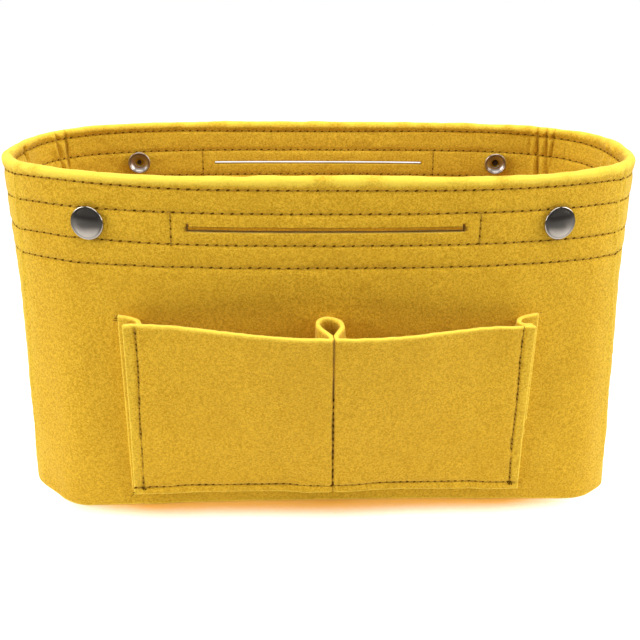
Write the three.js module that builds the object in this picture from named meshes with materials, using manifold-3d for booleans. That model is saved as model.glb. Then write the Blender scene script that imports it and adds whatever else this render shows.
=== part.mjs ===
// A felt makeup organizer: a soft open-topped box that stands inside a handbag.
// Four felt walls and a base meet at sewn seams. The top edge of each wall is folded to the inside,
// and a grip slot goes through both layers of the front and back walls.
// A two-part bellows pocket is sewn to the front, and flat pockets line the inside.
// Two press studs inside the front wall meet two sockets inside the back wall.
// Millimetres, x along the length, y from front to back, z up.
// The origin is the centre of the base's underside.

import * as THREE from 'three';
import { mergeVertices } from 'three/addons/utils/BufferGeometryUtils.js';
import Module from 'manifold-3d';

// Felt and sewing
const felt = 2;
const layerGap = 0.3;
const seamGap = 0.3;

// The slot and the fasteners lie higher on the back wall than on the front one.
const backBandRise = 1.4;

// Outline of the open rim: an oblong with a rounder front than back
const rimLength = 304;
const rimDepth = 120;
const rimFrontPower = 2.7;
const rimBackPower = 3.2;

// Outline of the base: a rectangle with its corners cut off, the one at the front right least
const baseLength = 292;
const baseDepth = 118;
const frontLeftCut = { along: 25, across: 21.5 };
const frontRightCut = { along: 16, across: 11.5 };
const backCut = { along: 21, across: 17 };
const baseCutRounding = 8;

// Walls
const bodyHeight = 167.4;
const facingDepth = 46.5;
const sidePanelWidth = 84;

// Grip slots
const slotLength = 120.4;
const slotOpening = 2.5;
const slotDrop = 24.6;
const slotNotch = 1.5;

// Front pocket
const pocketWidth = 191.4;
const pocketShift = 2.5;
const pocketTop = 102.2;
const pocketBottom = 8.2;
const pocketInsetTop = 5;
const pocketInsetBottom = 1.5;
const pocketEdgeOpening = 8.6;
const pocketCentreOpening = 20.4;
const pocketBowStart = 12;
const gussetWidthTop = 11.5;
const gussetWidthBottom = 16;
const gussetReach = 1.5;
const pleatShift = 0.3;
const pleatLean = 1.8;
const pleatWidthTop = 12.6;
const pleatWidthBottom = 23;
const pleatStemTop = 2.2;
const pleatBackFlat = 1.6;
const pocketOpeningPower = 1.3;

// Inside pockets
const insidePocketWidth = 222;
const insidePocketTop = 100;
const insidePocketBottom = 6;
const insidePocketBulge = 10;
const backCompartments = 3;
const frontCompartments = 2;

// Press fasteners
const snapReach = 103.7;
const snapDrop = 22.9;
const capDiameter = 15.2;
const capHeight = 2.8;
const capSheet = 0.4;
const capLip = 1.6;
const capCrown = 0.6;
const flangeSheet = 0.4;
const postDiameter = 3.4;
const postTipDiameter = 2.4;
const postTipReach = 1.6;
const studDiameter = 11;
const studHeight = 3.6;
const studNeckDiameter = 4;
const studBallDiameter = 4.6;
const studBallRise = 2.2;
const studTipDiameter = 3.4;
const studTipHeight = 0.7;
const socketDiameter = 12.2;
const socketHeight = 3;
const socketDishDiameter = 7.9;
const socketFloor = 1.5;
const socketBore = 4.8;
const socketSheet = 0.5;
const springWire = 0.6;
const springOpening = 2.8;
const fitGap = 0.3;

// Fineness of the faceted surfaces
const outlineSteps = 720;
const columnStep = 9;
const wallLevels = 4;
const foldSteps = 4;
const pocketLevels = 7;
const panelSteps = 14;
const pleatBendSteps = 3;
const pleatLoopSteps = 7;
const gussetLegSteps = 3;
const gussetBendSteps = 8;
const insidePocketSteps = 8;
const revolveSteps = 20;
const domeRings = [0.35, 0.7];
const domeInnerRings = [0.6];
const springSteps = 14;
const wireSides = 6;

const wasm = await Module();
wasm.setup();

// The two layers of felt at the rim, with the gap between them
const rimStack = 2 * felt + layerGap;
// Places round the outline, as shares of a whole turn from the middle of the front
const frontMiddle = 0;
const rightMiddle = 0.25;
const backMiddle = 0.5;
const leftMiddle = 0.75;

function mix(low, high, share) {
  return low + (high - low) * share;
}

// The height of what lies at a depth below the rim, in front or at the back
function bandHeight(middle, drop) {
  return bodyHeight - drop + (middle === backMiddle ? backBandRise : 0);
}

// An S-shaped step from 0 at the first place to 1 at the second
function easeBetween(first, second, place) {
  return THREE.MathUtils.smoothstep(place, first, second);
}

// Outlines. Each starts at the middle of the front and turns through +x.

class RimOutline extends THREE.Curve {
  getPoint(turn, target = new THREE.Vector2()) {
    const angle = (turn - rightMiddle) * 2 * Math.PI;
    const across = Math.sin(angle);
    const along = Math.cos(angle);
    const power = 2 / (across < 0 ? rimFrontPower : rimBackPower);
    const stretch = (value) => Math.sign(value) * Math.abs(value) ** power;
    return target.set(stretch(along) * rimLength / 2, stretch(across) * rimDepth / 2);
  }
}

function cutRectangle() {
  const x = baseLength / 2;
  const y = baseDepth / 2;
  const corners = [
    [x - frontRightCut.along, -y],
    [x, -y + frontRightCut.across],
    [x, y - backCut.across],
    [x - backCut.along, y],
    [-x + backCut.along, y],
    [-x, y - backCut.across],
    [-x, -y + frontLeftCut.across],
    [-x + frontLeftCut.along, -y],
  ].map(([cornerX, cornerY]) => new THREE.Vector2(cornerX, cornerY));
  const outline = new THREE.Path();
  outline.moveTo(0, -y);
  corners.forEach((corner, index) => {
    const before = corners[(index + corners.length - 1) % corners.length];
    const after = corners[(index + 1) % corners.length];
    const round = (other) => {
      const reach = Math.min(baseCutRounding, corner.distanceTo(other) / 3);
      return corner.clone().addScaledVector(other.clone().sub(corner).normalize(), reach);
    };
    const enter = round(before);
    const leave = round(after);
    outline.lineTo(enter.x, enter.y);
    outline.quadraticCurveTo(corner.x, corner.y, leave.x, leave.y);
  });
  outline.lineTo(0, -y);
  return outline;
}

const rimOutline = new RimOutline();
rimOutline.arcLengthDivisions = 2 * outlineSteps;
const baseOutline = cutRectangle();
const rimPoints = rimOutline.getSpacedPoints(outlineSteps);
const basePoints = baseOutline.getSpacedPoints(outlineSteps);
const rimPerimeter = rimOutline.getLength();
const basePerimeter = baseOutline.getLength();

function outlineAt(points, turn) {
  const place = THREE.MathUtils.euclideanModulo(turn, 1) * outlineSteps;
  const index = Math.floor(place);
  return points[index].clone().lerp(points[index + 1] ?? points[0], place - index);
}

// A wall is straight from the base's outline up to the rim's.
function outerPoint(turn, height) {
  const low = outlineAt(basePoints, turn);
  return low.lerp(outlineAt(rimPoints, turn), height / bodyHeight);
}

function inwardDirection(turn, height) {
  const reach = 2 / outlineSteps;
  const along = outerPoint(turn + reach, height).sub(outerPoint(turn - reach, height));
  return new THREE.Vector2(-along.y, along.x).normalize();
}

function wallPoint(turn, height, inward) {
  const place = outerPoint(turn, height);
  place.addScaledVector(inwardDirection(turn, height), inward);
  return new THREE.Vector3(place.x, place.y, height);
}

// The turn at a distance along the felt from the middle of a side
function turnAt(middle, distance, height) {
  return middle + distance / mix(basePerimeter, rimPerimeter, height / bodyHeight);
}

// Solids

function arc(centreX, centreY, radius, from, to, steps) {
  const points = [];
  for (let step = 0; step <= steps; step += 1) {
    const angle = mix(from, to, step / steps);
    points.push(new THREE.Vector2(
      centreX + radius * Math.cos(angle),
      centreY + radius * Math.sin(angle),
    ));
  }
  return points;
}

// Points from one place up to the next, which itself is left out
function line(from, to, steps) {
  return Array.from({ length: steps }, (_, step) => from.clone().lerp(to, step / steps));
}

function geometryOf(positions, faces) {
  const geometry = new THREE.BufferGeometry();
  geometry.setAttribute('position', new THREE.Float32BufferAttribute(positions, 3));
  geometry.setIndex(faces);
  geometry.computeVertexNormals();
  return geometry;
}

function signedVolume(positions, faces) {
  const point = (index) => new THREE.Vector3().fromArray(positions, 3 * index);
  let volume = 0;
  for (let face = 0; face < faces.length; face += 3) {
    const side = point(faces[face + 1]).cross(point(faces[face + 2]));
    volume += point(faces[face]).dot(side) / 6;
  }
  return volume;
}

// A closed solid through rings of points. Each end is closed by a ladder of triangles
// between the first half of its ring and the second.
function loft(rings) {
  const around = rings[0].length;
  const faces = [];
  const quad = (a, b, c, d) => faces.push(a, b, c, a, c, d);
  for (let ring = 0; ring < rings.length - 1; ring += 1) {
    for (let index = 0; index < around; index += 1) {
      const a = ring * around + index;
      const b = ring * around + (index + 1) % around;
      quad(a, b, b + around, a + around);
    }
  }
  const last = (rings.length - 1) * around;
  for (let index = 0; index < around / 2 - 1; index += 1) {
    const facing = around - 1 - index;
    quad(index, facing, facing - 1, index + 1);
    quad(last + index, last + index + 1, last + facing - 1, last + facing);
  }
  const positions = rings.flat().flatMap((point) => point.toArray());
  return geometryOf(positions, signedVolume(positions, faces) < 0 ? faces.reverse() : faces);
}

function toSolid(geometry) {
  const bare = geometry.clone();
  bare.deleteAttribute('normal');
  bare.deleteAttribute('uv');
  const merged = mergeVertices(bare);
  return new wasm.Manifold(new wasm.Mesh({
    numProp: 3,
    vertProperties: new Float32Array(merged.attributes.position.array),
    triVerts: new Uint32Array(merged.index.array),
  }));
}

function cut(geometry, cutters) {
  const left = cutters.reduce((body, cutter) => body.subtract(toSolid(cutter)), toSolid(geometry));
  const mesh = left.getMesh();
  return geometryOf(Array.from(mesh.vertProperties), Array.from(mesh.triVerts));
}

// Press fasteners: each stands on the wall, square to it, with y pointing out of the wall

const snapPlaces = [
  { name: 'front_left', middle: frontMiddle, reach: -snapReach, kind: 'stud' },
  { name: 'front_right', middle: frontMiddle, reach: snapReach, kind: 'stud' },
  { name: 'back_left', middle: backMiddle, reach: snapReach, kind: 'socket' },
  { name: 'back_right', middle: backMiddle, reach: -snapReach, kind: 'socket' },
];

function snapFrame({ middle, reach }) {
  const height = bandHeight(middle, snapDrop);
  const turn = turnAt(middle, reach, height);
  const low = wallPoint(turn, height - capDiameter / 2, 0);
  const high = wallPoint(turn, height + capDiameter / 2, 0);
  const { x, y } = inwardDirection(turn, height);
  const outward = high.sub(low).cross(new THREE.Vector3(-y, x, 0)).normalize();
  const frame = new THREE.Group();
  frame.position.copy(wallPoint(turn, height, 0));
  frame.quaternion.setFromUnitVectors(new THREE.Vector3(0, 1, 0), outward);
  frame.updateMatrix();
  return frame;
}

// Turns a profile, listed clockwise, about the fastener's axis
function revolve(profile) {
  const points = profile.map(([radius, height]) => new THREE.Vector2(radius, height));
  return new THREE.LatheGeometry(points.reverse(), revolveSteps);
}

// The domed cap is a thin shell whose lip is rolled under the post's flange.
function capGeometry() {
  const radius = capDiameter / 2;
  const shoulder = capHeight - capCrown;
  const roll = capSheet;
  const dome = (shares, drop) => shares.map((share) => [
    (radius - roll - drop) * share,
    capHeight - drop - capCrown * share * share,
  ]);
  return revolve([
    [0, capHeight],
    ...dome(domeRings, 0),
    [radius - roll, shoulder],
    [radius, shoulder - roll],
    [radius, fitGap + roll],
    [radius - roll, fitGap],
    [radius - capLip, fitGap],
    [radius - capLip, fitGap + capSheet],
    [radius - 2 * roll, fitGap + capSheet],
    [radius - capSheet, fitGap + 2 * capSheet],
    [radius - capSheet, shoulder - 2 * capSheet],
    ...dome(domeInnerRings, capSheet),
    [0, capHeight - capSheet],
  ]);
}

// The post's flange lies in the cap, and its shank goes through both layers of felt.
function postGeometry() {
  const flangeLow = 2 * fitGap + capSheet;
  const flangeHigh = flangeLow + flangeSheet;
  const flangeRadius = capDiameter / 2 - 2 * capSheet - fitGap;
  const tip = -rimStack - postTipReach;
  return revolve([
    [0, flangeHigh],
    [flangeRadius, flangeHigh],
    [flangeRadius, flangeLow],
    [postDiameter / 2, flangeLow],
    [postDiameter / 2, -rimStack],
    [postTipDiameter / 2, -rimStack - fitGap],
    [postTipDiameter / 2, tip],
    [0, tip],
  ]);
}

// The stud is a ring with a hollow ball, open at the felt, that goes over the post's tip.
function studGeometry() {
  const seat = -rimStack - fitGap;
  const ringRadius = studDiameter / 2;
  const neck = studNeckDiameter / 2;
  const ball = studBallDiameter / 2;
  const bore = postTipDiameter / 2 + fitGap;
  const top = seat - studHeight;
  return revolve([
    [bore, seat],
    [ringRadius - capSheet, seat],
    [ringRadius, seat - capSheet],
    [ringRadius, seat - 2 * capSheet],
    [ringRadius - capSheet, seat - 3 * capSheet],
    [neck + capSheet, seat - 2 * capSheet],
    [neck, seat - 3 * capSheet],
    [ball, seat - studBallRise],
    [ball, top + studTipHeight],
    [studTipDiameter / 2, top],
    [bore, top],
    [bore, seat],
  ]);
}

// The socket is a dish with a rolled edge. Its bore takes the ball, past the spring wires.
function socketGeometry() {
  const seat = -rimStack - fitGap;
  const radius = socketDiameter / 2;
  const bore = socketBore / 2;
  const crest = seat - socketHeight;
  const dishLow = seat - socketFloor;
  return revolve([
    [bore + springWire + fitGap, seat],
    [radius - 2 * socketSheet, seat],
    [radius - socketSheet, seat - socketSheet],
    [radius, crest + socketSheet],
    [radius - socketSheet / 2, crest],
    [radius - socketSheet * 1.5, crest],
    [radius - 2 * socketSheet, crest + socketSheet],
    [socketDishDiameter / 2, dishLow - socketSheet],
    [bore, dishLow],
    [bore, dishLow + socketSheet],
    [bore + springWire + fitGap, dishLow + socketSheet],
    [bore + springWire + fitGap, seat],
  ]);
}

// The spring is an open ring of wire that lies in the socket behind the bore.
function springGeometry() {
  const depth = -rimStack - fitGap - (socketFloor - socketSheet) / 2;
  const ring = socketBore / 2 + springWire / 2;
  const end = springOpening / ring / 2;
  const route = arc(0, 0, ring, end, 2 * Math.PI - end, springSteps);
  const path = new THREE.CatmullRomCurve3(route.map(({ x, y }) => new THREE.Vector3(x, depth, y)));
  const wire = new THREE.Shape(arc(0, 0, springWire / 2, 0, 2 * Math.PI, wireSides).slice(0, -1));
  return new THREE.ExtrudeGeometry(wire, { steps: springSteps, extrudePath: path });
}

function postHole(place) {
  const hole = new THREE.CylinderGeometry(
    postDiameter / 2 + fitGap,
    postDiameter / 2 + fitGap,
    4 * rimStack,
    revolveSteps,
  );
  return hole.applyMatrix4(snapFrame(place).matrix);
}

// Walls

// A wall's section as distances inward and heights: up the outer face, over the rounded fold,
// down to the facing's edge and back up between the layers.
function foldedSection() {
  const foldRadius = rimStack / 2;
  const foldHeight = bodyHeight - foldRadius;
  const facingEdge = bodyHeight - facingDepth;
  const rise = (inward) => line(
    new THREE.Vector2(inward, 0),
    new THREE.Vector2(inward, foldHeight),
    wallLevels,
  );
  return [
    ...rise(0),
    ...arc(foldRadius, foldHeight, foldRadius, Math.PI, 0, foldSteps),
    new THREE.Vector2(rimStack, facingEdge),
    new THREE.Vector2(felt + layerGap, facingEdge),
    ...arc(foldRadius, foldHeight, layerGap / 2, 0, Math.PI, foldSteps),
    ...rise(felt).reverse(),
  ];
}

const sideShare = sidePanelWidth / basePerimeter;
const seamTurns = [
  rightMiddle - sideShare / 2,
  rightMiddle + sideShare / 2,
  leftMiddle - sideShare / 2,
  leftMiddle + sideShare / 2,
];

// Turns at which a wall between two seams has a column of points
function columnTurns(from, to) {
  const gap = seamGap / 2 / rimPerimeter;
  const count = Math.round((to - from) * rimPerimeter / columnStep);
  const turns = [];
  for (let column = 0; column <= count; column += 1) {
    turns.push(mix(from + gap, to - gap, column / count));
  }
  return turns;
}

function wallGeometry(from, to) {
  const section = foldedSection();
  const rings = columnTurns(from, to).map((turn) => (
    section.map(({ x: inward, y: height }) => wallPoint(turn, height, inward))));
  return loft(rings);
}

// A slot with a small square notch above each end, as a cutter from the middle of the box outwards
function slotCutter(middle) {
  const end = slotLength / 2;
  const low = -slotOpening / 2;
  const high = slotOpening / 2;
  const slot = new THREE.Shape([
    [-end, low],
    [end, low],
    [end, high + slotNotch],
    [end - slotNotch, high + slotNotch],
    [end - slotNotch, high],
    [slotNotch - end, high],
    [slotNotch - end, high + slotNotch],
    [-end, high + slotNotch],
  ].map(([x, y]) => new THREE.Vector2(x, y)));
  const depth = Math.max(rimDepth, baseDepth);
  const cutter = new THREE.ExtrudeGeometry(slot, { depth, bevelEnabled: false });
  cutter.rotateX(Math.PI / 2);
  cutter.translate(0, middle === backMiddle ? depth : 0, bandHeight(middle, slotDrop));
  return cutter;
}

function slottedWall(from, to, middle) {
  const holes = snapPlaces.filter((place) => place.middle === middle).map(postHole);
  return cut(wallGeometry(from, to), [slotCutter(middle), ...holes]);
}

// The base lies inside the walls' feet, with a point opposite each of their columns.
function baseGeometry() {
  const turns = seamTurns.flatMap((seam, index) => (
    columnTurns(seam, seamTurns[index + 1] ?? seamTurns[0] + 1)));
  const first = turns.findIndex((turn) => turn >= leftMiddle);
  const ordered = [...turns.slice(first), ...turns.slice(0, first)];
  const ring = (height) => ordered.map((turn) => wallPoint(turn, height, felt + seamGap));
  return loft([ring(0), ring(felt)]);
}

// Sheets of felt that stand off a wall. A path holds the sheet's middle line in plan:
// x is the distance along the wall and y the distance off its face.

// The least cosine used where an offset line turns, which keeps its corners short
const cornerCosine = 0.6;

function offsetPath(path, distance) {
  return path.map((point, index) => {
    const before = path[Math.max(index - 1, 0)];
    const after = path[Math.min(index + 1, path.length - 1)];
    const enter = point.clone().sub(before).normalize();
    const leave = after.clone().sub(point).normalize();
    const along = enter.clone().add(leave).normalize();
    const spread = Math.max(along.dot(index > 0 ? enter : leave), cornerCosine);
    return new THREE.Vector2(-along.y, along.x).multiplyScalar(distance / spread).add(point);
  });
}

function sheetOutline(path) {
  return [...offsetPath(path, felt / 2), ...offsetPath(path, -felt / 2).reverse()];
}

// A sheet whose path changes from the bottom (share 0) to the top (share 1)
function sheetGeometry(pathAt, bottom, top, toWall) {
  const rings = [];
  for (let level = 0; level <= pocketLevels; level += 1) {
    const share = level / pocketLevels;
    const height = mix(bottom, top, share);
    rings.push(sheetOutline(pathAt(share)).map(({ x, y }) => toWall(x, y, height)));
  }
  return loft(rings);
}

function onFront(distance, off, height) {
  return wallPoint(turnAt(frontMiddle, distance + pocketShift, height), height, -off);
}

// Front pocket

const pocketHalf = pocketWidth / 2;
const gussetStack = 2 * felt + 3 * layerGap;
const pleatStack = gussetStack + layerGap;

// The pocket opens towards its top, and little near its bottom.
function openingShare(share) {
  return share ** pocketOpeningPower;
}

// Half the panel's width: its edges draw in a little towards the top
function panelHalf(share) {
  return pocketHalf - mix(pocketInsetBottom, pocketInsetTop, share);
}

// Distance from the wall to the panel's inner face, at a distance from the pocket's centre
function panelOpening(distance, share) {
  const out = Math.abs(distance);
  const pleatEnd = pleatWidthBottom / 2;
  const gussetEnd = pocketHalf - gussetWidthBottom;
  const flatten = pleatEnd / 2;
  const overPleat = 1 - easeBetween(pleatEnd, pleatEnd + 2 * flatten, out);
  const overGusset = easeBetween(gussetEnd - 2 * flatten, gussetEnd - layerGap, out);
  const low = Math.max(mix(layerGap, pleatStack, overPleat), mix(layerGap, gussetStack, overGusset));
  const swell = THREE.MathUtils.clamp(
    (out - pleatWidthTop / 2) / (pocketHalf - pocketBowStart - pleatWidthTop / 2),
    0,
    1,
  );
  const bow = (1 + Math.cos(Math.PI * swell)) / 2;
  const high = mix(pocketEdgeOpening, pocketCentreOpening, bow);
  return mix(low, high, openingShare(share));
}

// Right half of an upright pleat, from the panel in to the back of its loop
function pleatHalf(share) {
  const open = openingShare(share);
  const halfGap = (felt + layerGap) / 2;
  const bend = felt / 2 + layerGap;
  const panelLine = panelOpening(0, share) + felt / 2;
  const stem = mix(bend, pleatStemTop, open);
  const stemEnd = new THREE.Vector2(halfGap, panelLine - bend - stem);
  const reach = mix(pleatWidthBottom, pleatWidthTop, open) / 2 - felt / 2;
  const backLine = layerGap + felt / 2;
  const radius = mix(halfGap, reach - pleatBackFlat / 2, open);
  const centre = new THREE.Vector2(reach - radius, backLine + radius);
  const toStem = stemEnd.clone().sub(centre);
  const touch = toStem.angle() - Math.acos(Math.min(radius / toStem.length(), 1));
  const start = touch > Math.PI ? touch - 2 * Math.PI : touch;
  return [
    ...arc(halfGap + bend, panelLine - bend, bend, Math.PI / 2, Math.PI, pleatBendSteps),
    stemEnd,
    ...arc(centre.x, centre.y, radius, start, -Math.PI / 2, pleatLoopSteps),
  ];
}

// The pleat's loop leans to the left of its stem, more towards the top.
function pocketPanelPath(share) {
  const right = pleatHalf(share);
  const runStart = right[0].x;
  const edge = panelHalf(share);
  const run = (side) => {
    const points = [];
    for (let step = 0; step < panelSteps; step += 1) {
      const out = mix(edge, runStart, step / panelSteps);
      const shifted = side * out + pleatShift * (1 - out / edge);
      points.push(new THREE.Vector2(shifted, panelOpening(out, share) + felt / 2));
    }
    return points;
  };
  const lean = (pleatLean * openingShare(share)) / right[0].y;
  const pleat = (side) => right.map(({ x, y }) => (
    new THREE.Vector2(side * x + pleatShift - lean * (right[0].y - y), y)));
  return [...run(-1), ...pleat(-1), ...pleat(1).reverse(), ...run(1).reverse()];
}

// A gusset is a strip folded to a C: one leg lies on the wall and reaches past the panel's edge,
// the other lies under that edge.
function gussetPath(side, share) {
  const wallLine = layerGap + felt / 2;
  const panelLine = panelOpening(panelHalf(share), share) - layerGap - felt / 2;
  const radius = (panelLine - wallLine) / 2;
  const width = mix(gussetWidthBottom, gussetWidthTop, openingShare(share));
  const bend = pocketHalf - width + felt / 2 + radius;
  const centre = wallLine + radius;
  const fold = arc(bend, centre, radius, -Math.PI / 2, -3 * Math.PI / 2, gussetBendSteps);
  const wallEnd = new THREE.Vector2(panelHalf(share) + gussetReach, wallLine);
  const panelEnd = new THREE.Vector2(panelHalf(share) - layerGap, panelLine);
  const half = [
    ...line(wallEnd, fold[0], gussetLegSteps),
    ...fold,
    ...line(panelEnd, fold[fold.length - 1], gussetLegSteps).reverse(),
  ];
  return half.map(({ x, y }) => new THREE.Vector2(side * x, y));
}

function gussetGeometry(side) {
  return sheetGeometry((share) => gussetPath(side, share), pocketBottom, pocketTop, onFront);
}

// Inside pockets: a sheet sewn down at its ends and between its compartments

function insidePocketGeometry(middle, compartments) {
  const count = compartments * insidePocketSteps;
  const pathAt = (share) => {
    const points = [];
    for (let step = 0; step <= count; step += 1) {
      const place = (step % insidePocketSteps) / insidePocketSteps;
      const swell = Math.sin(Math.PI * place) ** 2;
      const off = layerGap + felt / 2 + insidePocketBulge * swell * openingShare(share);
      points.push(new THREE.Vector2(insidePocketWidth * (step / count - 0.5), off));
    }
    return points;
  };
  const toWall = (distance, off, height) => (
    wallPoint(turnAt(middle, distance, height), height, felt + off));
  return sheetGeometry(pathAt, insidePocketBottom, insidePocketTop, toWall);
}

// Assembly

const feltFinish = new THREE.MeshStandardMaterial({
  color: 0xe0ab22,
  roughness: 0.95,
  metalness: 0,
  flatShading: true,
});
const nickelFinish = new THREE.MeshStandardMaterial({
  color: 0xb9b4ae,
  roughness: 0.18,
  metalness: 1,
});
const steelFinish = new THREE.MeshStandardMaterial({
  color: 0x8d8a86,
  roughness: 0.35,
  metalness: 1,
});

function piece(name, geometry, material) {
  const mesh = new THREE.Mesh(geometry, material);
  mesh.name = name;
  return mesh;
}

function snapPieces(place) {
  const frame = snapFrame(place);
  frame.add(piece(`${place.name}_snap_cap`, capGeometry(), nickelFinish));
  frame.add(piece(`${place.name}_snap_post`, postGeometry(), steelFinish));
  if (place.kind === 'stud') {
    frame.add(piece(`${place.name}_snap_stud`, studGeometry(), nickelFinish));
  } else {
    frame.add(piece(`${place.name}_snap_socket`, socketGeometry(), nickelFinish));
    frame.add(piece(`${place.name}_snap_spring`, springGeometry(), steelFinish));
  }
  return frame;
}

const organizer = new THREE.Group();
const feltPieces = {
  front_wall: slottedWall(seamTurns[3] - 1, seamTurns[0], frontMiddle),
  right_wall: wallGeometry(seamTurns[0], seamTurns[1]),
  back_wall: slottedWall(seamTurns[1], seamTurns[2], backMiddle),
  left_wall: wallGeometry(seamTurns[2], seamTurns[3]),
  base_panel: baseGeometry(),
  pocket_panel: sheetGeometry(pocketPanelPath, pocketBottom, pocketTop, onFront),
  pocket_left_gusset: gussetGeometry(-1),
  pocket_right_gusset: gussetGeometry(1),
  inside_back_pocket: insidePocketGeometry(backMiddle, backCompartments),
  inside_front_pocket: insidePocketGeometry(frontMiddle, frontCompartments),
};
Object.entries(feltPieces).forEach(([name, geometry]) => {
  organizer.add(piece(name, geometry, feltFinish));
});
snapPlaces.forEach((place) => organizer.add(snapPieces(place)));

export default organizer;
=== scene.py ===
# A felt makeup organizer on a white studio floor.
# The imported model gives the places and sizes. This script dresses it in modelled felt, sews it
# with thread and lights it. Lengths are in millimetres until a mesh is finished in metres.

import math
from functools import partial

import bmesh
import bpy
import numpy as np
from mathutils import Matrix, Vector
from mathutils.kdtree import KDTree


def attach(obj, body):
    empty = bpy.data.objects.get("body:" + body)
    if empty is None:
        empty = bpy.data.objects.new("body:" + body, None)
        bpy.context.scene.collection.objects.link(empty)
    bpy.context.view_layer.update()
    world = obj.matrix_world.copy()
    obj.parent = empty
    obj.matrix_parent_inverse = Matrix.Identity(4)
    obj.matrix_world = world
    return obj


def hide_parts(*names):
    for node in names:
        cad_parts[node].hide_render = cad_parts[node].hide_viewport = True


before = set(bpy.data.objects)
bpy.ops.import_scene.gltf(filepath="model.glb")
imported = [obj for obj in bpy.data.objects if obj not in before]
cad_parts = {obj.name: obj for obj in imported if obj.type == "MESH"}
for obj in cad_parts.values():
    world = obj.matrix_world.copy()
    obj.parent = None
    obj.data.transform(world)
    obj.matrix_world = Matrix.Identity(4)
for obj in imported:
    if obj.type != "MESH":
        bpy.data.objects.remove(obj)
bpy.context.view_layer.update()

MILLIMETRE = 0.001
UP = (0, 0, 1)

# Felt and sewing. A needle hole is this long, wide and deep, and a thread shows over this share
# of the way from hole to hole. How deep both are sunk is a share of the groove and of the hole.
FELT = 2.0
LAYER_GAP = 0.3
STACK = 2 * FELT + LAYER_GAP
STITCH = 4.2
THREAD_WIDTH = 0.62
GROOVE_DEPTH = 0.5
GROOVE_WIDTH = 1.25
NEEDLE_DEPTH = 0.4
NEEDLE_WIDTH = 0.75
NEEDLE_HOLE = (1.0, 0.46, 0.42)
NEEDLE_SUNK = 0.55
THREAD_SHOWN = 0.36
THREAD_SUNK = 0.85
STITCH_LEAN = 0.16
UPRIGHT_STITCH = 3.7

# Outline of the rim and of the base, whose corners are cut off by these lengths and depths
RIM_LENGTH = 304
RIM_DEPTH = 120
RIM_FRONT_POWER = 2.7
RIM_BACK_POWER = 3.2
BASE_LENGTH = 292
BASE_DEPTH = 118
FRONT_LEFT_CUT = (25, 21.5)
FRONT_RIGHT_CUT = (16, 11.5)
BACK_CUT = (21, 17)
BASE_CUT_ROUNDING = 8
OUTLINE_STEPS = 720

# Where a sheet's points lie close together behind a raw edge
EDGE_STEPS = (0.35, 0.9)

# Walls
BODY_HEIGHT = 167.4
FACING_DEPTH = 46.5
SIDE_PANEL_WIDTH = 84
FOLD_HEIGHT = BODY_HEIGHT - STACK / 2
FOLD_LENGTH = math.pi * STACK / 4
FACING_EDGE = BODY_HEIGHT - FACING_DEPTH
SHEET_LENGTH = FOLD_HEIGHT + FOLD_LENGTH + FOLD_HEIGHT - FACING_EDGE

# Heights at the front. The band of stitches lies this much higher at the back.
ROWS = (160.9, 150.3, 135.8, 125.3)
BACK_RISE = 1.4

# Grip slots and the stitched frames round them, as distances from the middle of a wall
SLOT_REACH = 60.2
SLOT_HEIGHT = 142.8
SLOT_OPENING = {"front": 2.6, "back": 1.7}
SLOT_NOTCH = 1.5
FRAME_REACH = 67.0

# Front pocket
POCKET_WIDTH = 191.4
POCKET_SHIFT = 2.5
POCKET_TOP = 102.2
POCKET_BOTTOM = 8.2
POCKET_INSET_TOP = 5
POCKET_INSET_BOTTOM = 1.5
POCKET_EDGE_OPENING = 8.6
POCKET_CENTRE_OPENING = 20.4
POCKET_BOW_START = 12
GUSSET_WIDTH_TOP = 11.2
GUSSET_WIDTH_BOTTOM = 16
PLEAT_SHIFT = 0.3
PLEAT_LEAN = 1.8
PLEAT_WIDTH_TOP = 12.6
PLEAT_WIDTH_BOTTOM = 23
PLEAT_STEM_TOP = 2.2
PLEAT_BACK_FLAT = 0.8
PLEAT_LONG = 1.32
PLEAT_SHIFT_BOTTOM = 2.3
PANEL_REST = 1.0
PANEL_EDGE_STEPS = (0, *EDGE_STEPS, 1.8, 2.6, 3.2, 3.7, 4.2, 4.7, 5.2, 5.7, 6.2, 6.9, 7.8)
SIDE_SEAM_INSETS = (4.3, 5.4)
SIDE_STITCH = 2.9
BOTTOM_SEAM = POCKET_BOTTOM + 3.4
BOTTOM_STITCH = 3.4
POCKET_PITCH = 2.2
PANEL_COLUMNS = 66
PANEL_ROUNDING = (7.5, 1.5)
PANEL_ENDS = (30, 8)
SEWN_THICKNESS = 0.35
SEWN_GAP = 0.2
POCKET_OPENING_POWER = 1.3

# How far the pocket's top edges sink: at the ends, in the middle of the right half (distance,
# reach, depth), at the rounded corners, and over the gussets from the wall to the panel
SINK_REACH = 9
PANEL_LEFT_DROP = 0.1
PANEL_RIGHT_DROP = 1.4
PANEL_SAGS = ((48, 34, 1.0), (76, 22, 0.9))
PANEL_CORNER_DROP = 0.9
GUSSET_DROPS = {"left": 0.5, "right": 0.9}
GUSSET_FALL = 1.8

# Inside pockets
INSIDE_POCKET_WIDTH = 222
INSIDE_POCKET_TOP = 100
INSIDE_POCKET_BOTTOM = 6
INSIDE_POCKET_BULGE = 10
INSIDE_POCKET_COLUMNS = 24
INSIDE_POCKET_PITCH = 4.0

# Press fasteners
SNAP_REACH = 103.7
SNAP_HEIGHT = 144.5
SNAP_SEAT = -STACK - 0.3
CAP_RADIUS = 7.6
SNAPS = {
    "front_left": ("front", -SNAP_REACH, SNAP_HEIGHT),
    "front_right": ("front", SNAP_REACH, SNAP_HEIGHT),
    "back_left": ("back", SNAP_REACH, SNAP_HEIGHT + BACK_RISE),
    "back_right": ("back", -SNAP_REACH, SNAP_HEIGHT + BACK_RISE),
}


# Outlines. Each starts at the middle of the front and turns through +x.


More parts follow.
